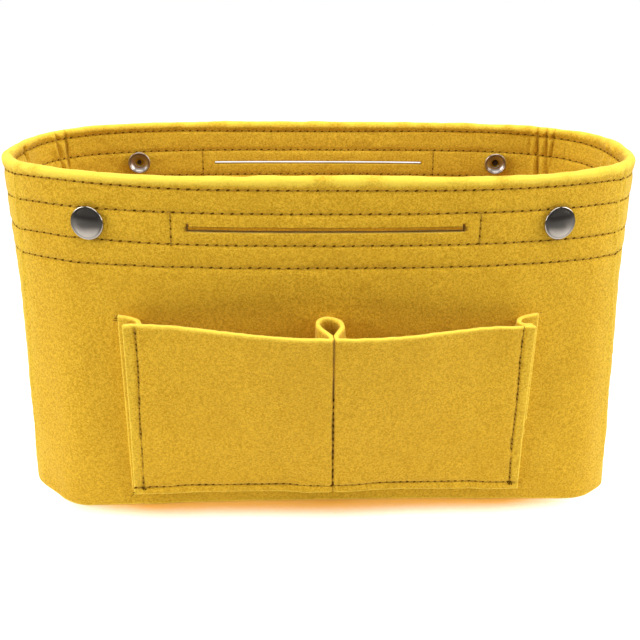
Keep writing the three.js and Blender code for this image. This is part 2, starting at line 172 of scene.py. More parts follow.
def rim_line():
    turns = np.linspace(0, 1, 20001)[:-1]
    angle = (turns - 0.25) * 2 * math.pi
    across, along = np.sin(angle), np.cos(angle)
    power = np.where(across < 0, 2 / RIM_FRONT_POWER, 2 / RIM_BACK_POWER)
    x = np.sign(along) * np.abs(along) ** power * RIM_LENGTH / 2
    y = np.sign(across) * np.abs(across) ** power * RIM_DEPTH / 2
    return np.stack([x, y], axis=1)


def base_line():
    x, y = BASE_LENGTH / 2, BASE_DEPTH / 2
    corners = np.array(
        [
            (x - FRONT_RIGHT_CUT[0], -y),
            (x, -y + FRONT_RIGHT_CUT[1]),
            (x, y - BACK_CUT[1]),
            (x - BACK_CUT[0], y),
            (-x + BACK_CUT[0], y),
            (-x, y - BACK_CUT[1]),
            (-x, -y + FRONT_LEFT_CUT[1]),
            (-x + FRONT_LEFT_CUT[0], -y),
        ]
    )
    points = [np.array([0.0, -y])]
    for index, corner in enumerate(corners):
        ends = []
        for other in (corners[index - 1], corners[(index + 1) % len(corners)]):
            length = np.linalg.norm(other - corner)
            ends.append(corner + (other - corner) / length * min(BASE_CUT_ROUNDING, length / 3))
        for share in np.linspace(0, 1, 9):
            bend = 2 * share * (1 - share)
            points.append((1 - share) ** 2 * ends[0] + bend * corner + share**2 * ends[1])
    return np.array(points)


def spaced(points):
    """The closed line at equal distances, and its length"""
    closed = np.vstack([points, points[:1]])
    steps = np.linalg.norm(np.diff(closed, axis=0), axis=1)
    run = np.concatenate([[0], np.cumsum(steps)])
    stations = np.linspace(0, run[-1], OUTLINE_STEPS + 1)
    line = np.stack([np.interp(stations, run, closed[:, axis]) for axis in (0, 1)], axis=1)
    return line, run[-1]


RIM, RIM_PERIMETER = spaced(rim_line())
BASE, BASE_PERIMETER = spaced(base_line())


def on_line(line, turn):
    place = np.mod(turn, 1.0) * OUTLINE_STEPS
    low = np.floor(place).astype(int) % OUTLINE_STEPS
    share = np.mod(place - low, OUTLINE_STEPS)[..., None]
    return line[low] * (1 - share) + line[low + 1] * share


def outer_line(turn, height):
    share = (height / BODY_HEIGHT)[..., None]
    return on_line(BASE, turn) * (1 - share) + on_line(RIM, turn) * share


def wall_point(turn, height, inward):
    """Points on the wall, this far inward of its outer face"""
    turn, height, inward = np.broadcast_arrays(
        np.asarray(turn, float), np.asarray(height, float), np.asarray(inward, float)
    )
    reach = 2 / OUTLINE_STEPS
    along = outer_line(turn + reach, height) - outer_line(turn - reach, height)
    normal = unit(np.stack([-along[..., 1], along[..., 0]], axis=-1))
    flat = outer_line(turn, height) + normal * inward[..., None]
    return np.concatenate([flat, height[..., None]], axis=-1)


def turn_at(side, distance, height=FOLD_HEIGHT):
    """The turn at a distance along the felt from the middle of a side"""
    middle = {"front": 0.0, "back": 0.5}[side]
    perimeter = BASE_PERIMETER + (RIM_PERIMETER - BASE_PERIMETER) * height / BODY_HEIGHT
    return middle + distance / perimeter


def back_share(turn):
    """0 in the middle of the front, 1 in the middle of the back"""
    return (1 - np.cos(2 * math.pi * np.asarray(turn))) / 2


# Random unevenness, always the same


def lumps(points, size, seed):
    """Smooth values of about -1 to 1 with lumps of about this size"""
    draw = np.random.default_rng(seed)
    total = np.zeros(points.shape[:-1])
    waves = 14
    for _ in range(waves):
        direction = draw.normal(size=3)
        direction *= 2 * math.pi / (np.linalg.norm(direction) * size * draw.uniform(1.4, 3.2))
        total += np.sin(points @ direction + draw.uniform(0, 2 * math.pi))
    return total / math.sqrt(waves)


def lumpy(points, kinds):
    """The sum of some kinds of lumps, each given as its height, size and seed"""
    return sum(height * lumps(points, size, seed) for height, size, seed in kinds)


def round_the_rim(turn, level):
    """Places for the lumps of a wall, which meet again after a whole turn"""
    angle = 2 * math.pi * turn
    radius = RIM_PERIMETER / (2 * math.pi)
    return np.stack([radius * np.cos(angle), radius * np.sin(angle), level], axis=-1)


def swell(distance, width):
    return np.exp(-((distance / width) ** 2))


def unit(vectors):
    """The vectors at a length of one"""
    return vectors / np.maximum(np.linalg.norm(vectors, axis=-1, keepdims=True), 1e-6)


def mix(low, high, share):
    return low + (high - low) * share


def ease(first, second, place):
    share = np.clip((place - first) / (second - first), 0, 1)
    return share * share * (3 - 2 * share)


def past(turn, place):
    """How far along the rim a turn lies past a place, the shorter way round"""
    return ((turn - place + 0.5) % 1 - 0.5) * RIM_PERIMETER


def swells(turn, places):
    """The sum of some swellings, each given as its turn, its reach along the rim and its size"""
    return sum(size * swell(past(turn, place), reach) for place, reach, size in places)


# Meshes


def finished(name, bm, material):
    """Turns a bmesh in millimetres into an object of the organizer"""
    bmesh.ops.scale(bm, vec=(MILLIMETRE,) * 3, verts=bm.verts)
    mesh = bpy.data.meshes.new(name)
    bm.to_mesh(mesh)
    bm.free()
    for polygon in mesh.polygons:
        polygon.use_smooth = True
    mesh.materials.append(material)
    piece = bpy.data.objects.new(name, mesh)
    bpy.context.scene.collection.objects.link(piece)
    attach(piece, "root")
    return piece


def second_layer(bm, faces, height):
    """Extrudes flat faces straight up by a height"""
    made = bmesh.ops.extrude_face_region(bm, geom=faces, use_keep_orig=True)["geom"]
    upper = [item for item in made if isinstance(item, bmesh.types.BMVert)]
    bmesh.ops.translate(bm, verts=upper, vec=(0, 0, height))


def sheet_of_felt(name, laid, wear_and_light, holes=None):
    """A closed sheet of felt. laid holds a point for each row, column and face (0 outer, 1 inner),
    wear_and_light holds how much lighter the felt is drawn at each row and column, for loose
    fibres and painted highlight and light, and below 0 the painted shade of creases, the slit and
    the slot, and holes is true for each cell between them that is cut away."""
    rows, columns = laid.shape[:2]
    bm = bmesh.new()
    bmesh.ops.create_grid(bm, x_segments=columns - 1, y_segments=rows - 1, size=0.5)
    if holes is not None:
        gone = []
        for face in bm.faces:
            middle = face.calc_center_median()
            column = int((middle.x + 0.5) * (columns - 1))
            row = int((middle.y + 0.5) * (rows - 1))
            if holes[row, column]:
                gone.append(face)
        bmesh.ops.delete(bm, geom=gone, context="FACES")
    second_layer(bm, bm.faces[:], 1)
    # Above 0 lighter for loose fibres and painted highlight and light, below 0 painted shade
    wear_and_light_layer = bm.verts.layers.float.new("wear_and_light")
    for vertex in bm.verts:
        column = round((vertex.co.x + 0.5) * (columns - 1))
        row = round((vertex.co.y + 0.5) * (rows - 1))
        vertex[wear_and_light_layer] = wear_and_light[row, column]
        vertex.co = laid[row, column, round(vertex.co.z)]
    bmesh.ops.recalc_face_normals(bm, faces=bm.faces)
    return finished(name, bm, WALL_FELT)


def edge_thickness(distance, least=0.6):
    """The share of the felt's thickness that is left near a raw edge"""
    near = 1 - np.clip(distance / 0.8, 0, 1)
    return least + (1 - least) * np.sqrt(1 - near**2)


def frayed_and_lit(distance, reach=1.3):
    """How much lighter the felt is drawn near a raw edge: loose fibres and a painted highlight"""
    return np.clip(1 - distance / reach, 0, 1)


def thinned(laid, share):
    """Draws both faces of a sheet towards its middle, to these shares of its thickness"""
    middle = laid.mean(axis=2, keepdims=True)
    return middle + (laid - middle) * share[..., None, None]


def tree_of(points):
    tree = KDTree(len(points))
    for index, point in enumerate(points):
        tree.insert(point, index)
    tree.balance()
    return tree


def pressed(laid, seams):
    """Pulls the outer face in along the rows of stitches, and more at each needle hole"""
    skin = laid[:, :, 0]
    inward = unit(laid[:, :, 1] - skin)
    shares = np.linspace(0, 1, 9)[:-1, None]
    lines = [
        start + (end - start) * shares
        for row in seams
        for start, end in zip(row["points"][:-1], row["points"][1:])
    ]
    line, hole = tree_of(np.vstack(lines)), tree_of(np.vstack([row["points"] for row in seams]))
    depth = np.zeros(skin.shape[:2])
    for place in np.ndindex(depth.shape):
        gap = line.find(skin[place])[2]
        if gap < 3 * GROOVE_WIDTH:
            depth[place] = GROOVE_DEPTH * swell(gap, GROOVE_WIDTH)
            depth[place] += NEEDLE_DEPTH * swell(hole.find(skin[place])[2], NEEDLE_WIDTH)
    laid = laid.copy()
    laid[:, :, 0] = skin + inward * depth[..., None]
    return laid


# Seams: each is a list of needle holes on a face, with the way out of the felt at each


def seam_on(face, across, up, step=0.5):
    """A seam through some places of a face, which face(across, up) gives as points"""
    along = face(across + step, up) - face(across - step, up)
    outward = np.cross(along, face(across, up + 0.5) - face(across, up - 0.5))
    return {"points": face(across, up), "outward": unit(outward)}


def evenly(start, end, pitch):
    return np.linspace(start, end, max(2, round(abs(end - start) / pitch) + 1))


def repeated(bm, count):
    """Doubles what a bmesh holds until there are at least this many copies, and trims the rest"""
    vertices = len(bm.verts)
    copies = 1
    while copies < count:
        bmesh.ops.duplicate(bm, geom=bm.verts[:] + bm.edges[:] + bm.faces[:])
        copies *= 2
    spare = bm.verts[:][vertices * count :]
    bmesh.ops.delete(bm, geom=spare, context="VERTS")
    return vertices


def scattered(name, shape, places, material):
    """Copies of a small shape, each moved and shaped by its own matrix"""
    bm = bmesh.new()
    shape(bm)
    first = bpy.data.meshes.new(f"{name}_shape")
    bm.to_mesh(first)
    bm.clear()
    bm.from_mesh(first)
    bpy.data.meshes.remove(first)
    vertices = repeated(bm, len(places))
    corners = np.array([(*vertex.co, 1) for vertex in bm.verts[:][:vertices]])
    moved = np.concatenate([(corners @ place.T)[:, :3] for place in places])
    for vertex, point in zip(bm.verts, moved):
        vertex.co = point
    bmesh.ops.recalc_face_normals(bm, faces=bm.faces)
    return finished(name, bm, material)


def standing(along, out, middle, size, lean):
    """A matrix that lays x along a seam and z out of the felt, turned by a little lean"""
    across = np.cross(out, along)
    across /= np.linalg.norm(across)
    along = np.cross(across, out)
    turned = along * math.cos(lean) + across * math.sin(lean)
    across = np.cross(out, turned)
    place = np.eye(4)
    place[:3, :3] = np.stack([turned, across, out], axis=1) * size
    place[:3, 3] = middle
    return place


def stitch_shape(bm):
    bmesh.ops.create_uvsphere(
        bm, u_segments=6, v_segments=6, radius=1, matrix=Matrix.Rotation(math.pi / 2, 4, "Y")
    )


def hole_shape(bm):
    bmesh.ops.create_icosphere(bm, subdivisions=1, radius=1)


def sew(name, seams):
    """Stitches of some seams: threads that taper into the felt, and painted shade in the holes"""
    draw = np.random.default_rng(len(seams))
    threads, holes = [], []
    long, wide, deep = NEEDLE_HOLE
    for row in seams:
        points, outward = row["points"], row["outward"]
        for index, (start, end) in enumerate(zip(points[:-1], points[1:])):
            out = outward[index] + outward[index + 1]
            out /= np.linalg.norm(out)
            length = np.linalg.norm(end - start)
            along = (end - start) / length
            size = (length * THREAD_SHOWN, THREAD_WIDTH / 2, THREAD_WIDTH / 2)
            middle = (start + end) / 2 - out * GROOVE_DEPTH * THREAD_SUNK
            lean = STITCH_LEAN * draw.uniform(0.4, 1.3)
            threads.append(standing(along, out, middle, size, lean))
            # Each needle hole gets a dark mark of painted shade, sunk below the groove
            size = (long * draw.uniform(0.75, 1.2), wide * draw.uniform(0.8, 1.15), deep)
            middle = start - out * (GROOVE_DEPTH + NEEDLE_DEPTH * NEEDLE_SUNK)
            lean = STITCH_LEAN * draw.uniform(1.0, 3.0)
            holes.append(standing(along, outward[index], middle, size, lean))
    return (
        scattered(f"{name}_stitches", stitch_shape, threads, THREAD),
        scattered(f"{name}_needle_marks", hole_shape, holes, NEEDLE_SHADE_AND_DARK_THREAD),
    )


# Node materials


def nodes_of(tree):
    """The nodes and links of an emptied node tree"""
    tree.nodes.clear()
    return tree.nodes, tree.links


def new_material(name):
    """An empty node material, its nodes and its links"""
    material = bpy.data.materials.new(name)
    material.use_nodes = True
    return (material, *nodes_of(material.node_tree))


def add(nodes, kind, values=None, **settings):
    """A new shader node with these settings and these values at its inputs"""
    node = nodes.new(f"ShaderNode{kind}")
    for name, setting in settings.items():
        setattr(node, name, setting)
    for name, value in (values or {}).items():
        node.inputs[name].default_value = value
    return node


def join(links, *ways):
    """Links nodes: each way names a node and its output, then the next node and its input"""
    for first, output, second, entry in ways:
        links.new(first.outputs[output], second.inputs[entry])


def colour(rgb):
    """A colour as it is seen, from 0 to 255, as a linear one"""
    shares = [value / 255 for value in rgb]
    linear = [s / 12.92 if s <= 0.04045 else ((s + 0.055) / 1.055) ** 2.4 for s in shares]
    return (*linear, 1.0)


def felt_fibres():
    """A shared group: colour and height of matted fibres, loose fibres, painted light and shade"""
    tree = bpy.data.node_groups.new("felt_fibres", "ShaderNodeTree")
    nodes, links = nodes_of(tree)
    for name, kind in (
        ("Place", "Vector"),
        ("Wear and light", "Float"),
        ("Deep colour", "Color"),
        ("Felt colour", "Color"),
        ("Fibre colour", "Color"),
        ("Wear and light colour", "Color"),
        ("Shade colour", "Color"),
    ):
        tree.interface.new_socket(name, in_out="INPUT", socket_type=f"NodeSocket{kind}")
    tree.interface.new_socket("Colour", in_out="OUTPUT", socket_type="NodeSocketColor")
    tree.interface.new_socket("Height", in_out="OUTPUT", socket_type="NodeSocketFloat")
    result = nodes.new("NodeGroupOutput")
    given = nodes.new("NodeGroupInput").outputs

    def noise(scale, detail, roughness, distortion=0.0):
        look = {"Scale": scale, "Detail": detail, "Roughness": roughness, "Distortion": distortion}
        texture = add(nodes, "TexNoise", look)
        links.new(given["Place"], texture.inputs["Vector"])
        return texture.outputs["Fac"]

    def ramp(value, low, high, top=1.0):
        reach = {"From Min": low, "From Max": high, "To Max": top}
        step = add(nodes, "MapRange", reach, interpolation_type="SMOOTHSTEP")
        links.new(value, step.inputs["Value"])
        return step.outputs["Result"]

    def blend(share, low, high):
        mixer = add(nodes, "Mix", data_type="RGBA")
        for source, entry in ((share, "Factor"), (low, "A"), (high, "B")):
            links.new(source, mixer.inputs[entry])
        return mixer.outputs["Result"]

    def sum_of(first, second, weight):
        total = add(nodes, "Math", {1: weight}, operation="MULTIPLY_ADD")
        links.new(second, total.inputs[0])
        links.new(first, total.inputs[2])
        return total.outputs[0]

    mottle = noise(960, 3, 0.66, 0.4)
    grain = noise(2300, 2, 0.6)
    clouds = noise(38, 2, 0.5)
    shade = ramp(sum_of(mottle, grain, 0.65), 0.60, 1.03)
    tone = blend(shade, given["Deep colour"], given["Felt colour"])
    tone = blend(ramp(grain, 0.58, 0.78, 0.7), tone, given["Fibre colour"])
    tone = blend(ramp(clouds, 0.6, 0.3, 0.16), tone, given["Deep colour"])
    # Below 0 the felt takes the shade colour: painted shade in creases, the slit and the slot's
    # lips
    tone = blend(ramp(given["Wear and light"], 0, -1, 0.75), tone, given["Shade colour"])
    # Above 0 it takes the lighter colour: loose fibres, painted highlight and painted light
    loose = ramp(sum_of(given["Wear and light"], mottle, 0.5), 0.3, 1.25, 0.8)
    tone = blend(loose, tone, given["Wear and light colour"])
    links.new(tone, result.inputs["Colour"])
    links.new(sum_of(mottle, grain, 0.5), result.inputs["Height"])
    return tree


FIBRES = felt_fibres()


def felt(name, deep, middle, fibre, wear_and_light, painted_shade):
    material, nodes, links = new_material(name)
    look = {
        "Roughness": 0.96,
        "Specular IOR Level": 0.1,
        "Sheen Weight": 0.35,
        "Sheen Roughness": 0.4,
        "Sheen Tint": (1.0, 0.9, 0.4, 1),
    }
    shader = add(nodes, "BsdfPrincipled", look)
    given = {"Deep": deep, "Felt": middle, "Fibre": fibre, "Wear and light": wear_and_light, "Shade": painted_shade}
    tones = {f"{label} colour": colour(rgb) for label, rgb in given.items()}
    group = add(nodes, "Group", tones, node_tree=FIBRES)
    raised = add(nodes, "Bump", {"Strength": 0.5, "Distance": 0.0006})
    join(
        links,
        (add(nodes, "TexCoord"), "Object", group, "Place"),
        (add(nodes, "Attribute", attribute_name="wear_and_light"), "Fac", group, "Wear and light"),
        (group, "Colour", shader, "Base Color"),
        (group, "Height", raised, "Height"),
        (raised, "Normal", shader, "Normal"),
        (shader, "BSDF", add(nodes, "OutputMaterial"), "Surface"),
    )
    return material


def thread_material(name, dark, light, gloss=0.2):
    """Twisted thread between two colours"""
    material, nodes, links = new_material(name)
    shader = add(nodes, "BsdfPrincipled", {"Roughness": 0.8, "Specular IOR Level": gloss})
    twist = add(nodes, "TexNoise", {"Scale": 2400, "Detail": 2})
    shades = add(nodes, "ValToRGB")
    for end, place, tone in zip(shades.color_ramp.elements, (0.35, 0.7), (dark, light)):
        end.position = place
        end.color = colour(tone)
    raised = add(nodes, "Bump", {"Strength": 0.4, "Distance": 0.0002})
    join(
        links,
        (add(nodes, "TexCoord"), "Object", twist, "Vector"),
        (twist, "Fac", shades, "Fac"),
        (twist, "Fac", raised, "Height"),
        (shades, "Color", shader, "Base Color"),
        (raised, "Normal", shader, "Normal"),
        (shader, "BSDF", add(nodes, "OutputMaterial"), "Surface"),
    )
    return material


def plated(name, tone, roughness):
    """Bright plated metal with faint handling marks"""
    material, nodes, links = new_material(name)
    shader = add(nodes, "BsdfPrincipled", {"Metallic": 1.0})
    haze = add(nodes, "TexNoise", {"Scale": 260, "Detail": 5})
    rub = add(nodes, "MapRange", {"To Min": roughness, "To Max": roughness + 0.08})
    tones = {"A": colour(tone), "B": colour([value * 0.86 for value in tone])}
    shades = add(nodes, "Mix", tones, data_type="RGBA")
    raised = add(nodes, "Bump", {"Strength": 0.06, "Distance": 0.0002})
    join(
        links,
        (add(nodes, "TexCoord"), "Object", haze, "Vector"),
        (haze, "Fac", rub, "Value"),
        (haze, "Fac", shades, "Factor"),
        (haze, "Fac", raised, "Height"),
        (shades, "Result", shader, "Base Color"),
        (rub, "Result", shader, "Roughness"),
        (raised, "Normal", shader, "Normal"),
        (shader, "BSDF", add(nodes, "OutputMaterial"), "Surface"),
    )
    return material


# The wear and light colour is for loose fibres and painted highlight and light; the shade colour is
# painted shade in creases, the slit and the slot's lips
WALL_FELT = felt(
    "yellow_felt",
    deep=(190, 142, 24),
    middle=(229, 183, 50),
    fibre=(244, 208, 88),
    wear_and_light=(255, 224, 82),
    painted_shade=(100, 56, 5),
)
THREAD = thread_material("olive_thread", (150, 112, 26), (196, 154, 48))
# Dark brown: painted shade in the needle holes, and the dark thread ends and knots
NEEDLE_SHADE_AND_DARK_THREAD = thread_material("needle_shade_and_dark_thread", (80, 54, 8), (114, 78, 14), gloss=0)
NICKEL = plated("polished_nickel", (176, 168, 158), 0.1)
PALE_NICKEL = plated("satin_nickel", (192, 182, 174), 0.3)
# Dark steel for the posts and springs; its darkness also stands in for the shade down a socket's
# bore
STEEL_AND_BORE_SHADE = plated("spring_steel_and_bore_shade", (72, 69, 66), 0.4)


# Walls


def band_height(height, turn):
    """The height at this turn of what lies at a height in the middle of the front"""
    marks = (FACING_EDGE, ROWS[3], ROWS[0], FOLD_HEIGHT)
    return height + BACK_RISE * np.interp(height, marks, (0, 1, 1, 0)) * back_share(turn)


# Upright creases: turn at the rim, how far each drifts on its way down, width, how far it
# stands out and how far down it reaches. The slit has the same first three, and its depth.
# Inside, the deeper valleys of the creases and the slit are also darkened with painted shade.
FACING_CREASES = (
    (0.7088, -0.0066, 1.7, 1.3, 30),
    (0.7052, -0.0062, 0.9, -1.1, 26),
    (0.7012, -0.0030, 1.5, 1.4, 26),
    (0.6963, -0.0004, 0.9, -1.0, 20),
    (0.3344, -0.0060, 0.8, -0.7, 11),
    (0.3315, -0.0050, 1.4, 0.8, 30),
    (0.3280, -0.0047, 0.9, -1.2, 26),
    (0.3244, -0.0050, 1.5, 1.1, 30),
    (0.3208, -0.0053, 0.9, -1.3, 28),
    (0.3176, -0.0010, 1.5, 1.1, 30),
    (0.3143, 0.0038, 0.9, -1.1, 30),
    (0.2562, 0.0150, 1.5, 1.2, 18),
    (0.2484, 0.0, 1.5, 1.1, 20),
)
FACING_SLIT = (0.7482, -0.00045, 1.2, 2.2)
OUTSIDE_CREASES = (
    (0.8047, 0.0, 1.2, -0.8, 150),
    (0.8020, 0.0, 1.6, 0.6, 150),
    (0.1895, 0.0, 1.2, -0.8, 150),
    (0.1922, 0.0, 1.6, 0.6, 150),
)
CREASE_DROP = 45.0
CREASED = ((0.690, 0.714), (0.310, 0.338), (0.244, 0.264))

# Soft unevenness of the rim and of the walls: turn, reach along the rim and how high or far out.
# The walls bow like a half wave over the bow's height, and only the rim itself rises.
RIM_WAVES = ((0.725, 34, -1.2), (0.262, 30, 0.8), (0.0, 60, 2.1))
FRONT_SAG = 2.8
BULGES = ((0.25, 40, 1.5), (0.75, 34, 0.5))
FLARES = ((0.795, 72, 2.6), (0.205, 72, 2.5))
FLARE_HEIGHT = 110.0
BOW_HEIGHT = 190
RISE_POWER = 40

# Unevenness of the felt itself: height, size and seed of its lumps
SKIN_LUMPS = ((0.10, 3.2, 12), (0.14, 9, 13))
POCKET_EDGE_LUMPS = ((0.1, 2, 41), (0.09, 7, 42))

# The fold at the rim is a little fuller than the two layers below it
FOLD_FULLNESS = 0.45
FULL_REACH = 3.4

# The seams between the walls: half the gap, and how thick the felt stays along them
WALL_GAP = 0.04
SEAM_FULLNESS = 0.55

# Columns of a wall's points: plain, in its creases, and beside the slit
WALL_PITCH = 1.2
CREASE_PITCH = 0.55
SLIT_PITCH = 0.5
LEAST_TURN = 0.0003

# Rows of a wall's points: up to where the stitches start, above that, and beside each row
LOW_ROWS_END = 117
LOW_PITCH = 3.0
HIGH_PITCH = 1.7
ROW_STEPS = (-1.4, -0.8, -0.3, 0.3, 0.8, 1.4)

# Painted highlight on the fold in front and behind, painted sheen at the corners next to the front
# wall (turn, reach along the rim and share) and painted light on the folded-over layer inside
CREST_HIGHLIGHT = (0.92, 0.72)
CREST_HIGHLIGHT_WIDTH = 2.5
CORNER_SHEEN = ((0.202, 19, 0.42), (0.798, 14, 0.42))
FACING_LIGHT = 0.32


def flare(turn, height):
    """How far the front corners spread towards the floor"""
    return np.clip(1 - height / FLARE_HEIGHT, 0, 1) * swells(turn, FLARES)


def creases(places, turn, height):
    """How far a face stands out along its creases"""
    total = np.zeros(np.broadcast(turn, height).shape)
    drop = BODY_HEIGHT - height
    for middle, drift, width, rise, end in places:
        along = past(turn, middle + drift * np.clip(drop / CREASE_DROP, 0, 1.5))
        reach = np.clip((end + 6 - drop) / 6, 0, 1) * np.clip((drop - 1) / 3, 0.3, 1)
        total = total + rise * swell(along, width) * reach
    return total


def slit(turn, level):
    """The share of the slit's depth at a place"""
    middle, drift, width, _ = FACING_SLIT
    across = past(turn, middle + drift * (BODY_HEIGHT - level))
    return swell(across, width) * np.clip((14 - BODY_HEIGHT + level) / 4, 0, 1)


def near_rows(height):
    return np.max([swell(height - row, 2.2) for row in ROWS], axis=0)


def level_at(distance):
    """The level at a distance up a wall's sheet, over the fold and down again"""
    down = np.clip(distance - FOLD_HEIGHT - FOLD_LENGTH, 0, None)
    return np.minimum(distance, FOLD_HEIGHT) - down


def wall_face(turn, distance, side):
    """Points of a wall's faces, by turn and by distance up the sheet, over the fold and down"""
    turn, distance, side = np.broadcast_arrays(turn, distance, side)
    over = np.clip((distance - FOLD_HEIGHT) / FOLD_LENGTH, 0, 1)
    level = level_at(distance)
    plain = round_the_rim(turn, level)
    facing = over == 1
    below = np.where(facing, distance - FOLD_HEIGHT - FOLD_LENGTH, FOLD_HEIGHT - distance)
    full = FOLD_FULLNESS * swell(np.clip(below, 0, None), FULL_REACH)
    full = full * (1 + 0.3 * lumps(plain, 14, 11))
    radius = np.where(side == 0, STACK / 2 + full, LAYER_GAP / 2)
    radius = radius + np.where(side == 0, lumpy(plain, SKIN_LUMPS), 0)
    inward = STACK / 2 - radius * np.cos(over * math.pi)
    pucker = creases(FACING_CREASES, turn, level) * (1 - 0.75 * near_rows(level))
    inward = inward + np.where(facing, pucker, 0)
    inward = inward - np.where(facing & (side == 0), FACING_SLIT[3] * slit(turn, level), 0)
    outside = creases(OUTSIDE_CREASES, turn, level)
    inward = inward + np.where((over == 0) & (side == 0), outside, 0)
    height = band_height(level, turn) + radius * np.sin(over * math.pi)
    rise = 0.2 * lumps(plain * (1, 1, 0), 40, 14) + swells(turn, RIM_WAVES)
    rise = rise - FRONT_SAG * np.clip(np.cos(2 * math.pi * turn), 0, None)
    height = height + rise * np.clip(height / BODY_HEIGHT, 0, 1) ** RISE_POWER
    bow = 0.45 * lumps(plain * (1, 1, 0.8), 60, 15) - swells(turn, BULGES)
    bow = bow * np.sin(math.pi * height / BOW_HEIGHT)
    return wall_point(turn, np.clip(height, 0, None), inward + bow - flare(turn, height))


def ordered(values, least=0.28):
    """Sorted values, without those that nearly repeat the one before"""
    kept = []
    for value in sorted(values):
        if not kept or value - kept[-1] > least:
            kept.append(value)
    return kept


def facing_at(level):
    """The distance up a wall's sheet and over its fold at which it is back down at a level"""
    return SHEET_LENGTH - (level - FACING_EDGE)


def wall_rows():
    """Distances up a wall's sheet, closer together at each row of stitches, edge and fold"""
    rows = set(np.arange(0, LOW_ROWS_END, LOW_PITCH)) | {0.0, *EDGE_STEPS, 1.8}
    levels = list(np.arange(LOW_ROWS_END, FOLD_HEIGHT, HIGH_PITCH))
    levels += [row + step for row in ROWS for step in ROW_STEPS]
    for level in levels:
        rows |= {level, facing_at(level)}
    rows |= set(FOLD_HEIGHT + np.linspace(0, FOLD_LENGTH, 11))
    rows |= {SHEET_LENGTH - step for step in (0, *EDGE_STEPS)}
    return np.array(ordered({row for row in rows if 0 <= row <= SHEET_LENGTH}))


def wall_turns(start, end):
    """Turns across a wall's sheet, closer together at its seams, its creases and the slit"""
    turns = np.linspace(start, end, round((end - start) * RIM_PERIMETER / WALL_PITCH) + 1)
    fine = np.array(EDGE_STEPS) / RIM_PERIMETER
    close = [FACING_SLIT[0] + np.arange(-8, 3.0, SLIT_PITCH) / RIM_PERIMETER]
    close += [np.arange(low, high, CREASE_PITCH / RIM_PERIMETER) for low, high in CREASED]
    close = np.concatenate(close)
    close = close[(close > start) & (close < end)]
    turns = ordered(np.concatenate([turns, start + fine, end - fine, close]), LEAST_TURN)
    return np.append(turns[:-1], end)


def exact(values, needed, spread):
    """Moves the nearest value onto each needed one"""
    values = np.array(values)
    for place in needed:
        values[np.abs(values - place).argmin()] = place
        clear = (np.abs(values - place) > spread) | (values == place)
        values = values[clear]
    return np.unique(np.sort(np.concatenate([values, needed])))


def wall_wear_and_light(turn, distance, edge):
    """How much lighter a wall's felt is drawn: loose fibres and a painted highlight at its edges, a
    painted highlight on the fold, painted sheen at the front corners and painted light inside.
    Below 0 it is painted shade in its creases and the slit."""
    behind = back_share(turn)
    crest_highlight = swell(distance - FOLD_HEIGHT - FOLD_LENGTH * mix(0.0, 0.5, behind), CREST_HIGHLIGHT_WIDTH)
    places = round_the_rim(turn, np.minimum(distance, FOLD_HEIGHT))
    crest_highlight = crest_highlight * mix(*CREST_HIGHLIGHT, behind) * (1 + 0.22 * lumps(places, 6, 31))
    corner_sheen = [share * swell(past(turn, place), reach) for place, reach, share in CORNER_SHEEN]
    corner_sheen = np.max(corner_sheen, axis=0) * (distance < FOLD_HEIGHT)
    inside = FACING_LIGHT * ease(2, 6, distance - FOLD_HEIGHT - FOLD_LENGTH)
    wear_and_light = np.maximum.reduce([edge, crest_highlight, corner_sheen, inside])
    level = level_at(distance)
    # Painted shade: the deeper valleys of the creases inside take the shade colour
    dark = np.where(distance > FOLD_HEIGHT, creases(FACING_CREASES, turn, level), 0)
    wear_and_light = np.where(dark < -0.3, 0.6 * np.maximum(dark, -1) * (1 - np.clip(crest_highlight, 0, 1)), wear_and_light)
    # Painted shade down the slit inside
    slit_shade = np.where(distance > FOLD_HEIGHT + FOLD_LENGTH, slit(turn, level), 0)
    return np.where(slit_shade > 0.3, -slit_shade, wear_and_light)


def wall(name, start, end, side=None):
    """A wall's sheet of felt between two seams, with a grip slot if it has a side"""
    start, end = start + WALL_GAP / RIM_PERIMETER, end - WALL_GAP / RIM_PERIMETER
    turns, rows, holes = wall_turns(start, end), wall_rows(), None
    if side:
        ends, lips = slot_lines(side)
        turns = exact(turns, ends, 0.25 / RIM_PERIMETER)
        near = [lips[0] - 0.9, lips[0] - 0.4, *lips, lips[1] + 0.5, lips[2] + 0.6]
        rows = exact(rows, sorted(near + [facing_at(level) for level in near]), 0.2)
        holes, slot_gap = slot_cells(turns, rows, ends, lips, side == "front")
    distance, turn = np.meshgrid(rows, turns, indexing="ij")
    laid = np.stack([wall_face(turn, distance, face) for face in (0, 1)], axis=2)
    cut = np.minimum(distance, SHEET_LENGTH - distance)
    sewn = np.minimum(turn - start, end - turn) * RIM_PERIMETER + SEAM_FULLNESS
    border, edge = np.minimum(cut, sewn), frayed_and_lit(cut)
    if side:
        border = np.minimum(border, slot_gap + 0.5)
        edge = np.maximum(edge, 0.3 * frayed_and_lit(slot_gap, 0.5))
    wear_and_light = wall_wear_and_light(turn, distance, edge)
    if side == "front":
        # Painted shadow: the shade colour on the slot's upper lip and on both lips of the facing
        under = (rows > lips[0] + 0.1) | (rows > FOLD_HEIGHT)
        wear_and_light = np.where((slot_gap == 0) & under[:, None], -1, wear_and_light)
    laid = pressed(thinned(laid, edge_thickness(border)), WALL_SEAMS)
    return sheet_of_felt(name, laid, wear_and_light, holes)


def slot_lines(side):
    """The turns of a slot's ends and notches, and the levels of its lips and of the notches"""
    inner_end = SLOT_REACH - SLOT_NOTCH
    ends = [turn_at(side, d) for d in (-SLOT_REACH, -inner_end, inner_end, SLOT_REACH)]
    low, high = (SLOT_HEIGHT + half * SLOT_OPENING[side] / 2 for half in (-1, 1))
    return ends, [low, high, high + SLOT_NOTCH]


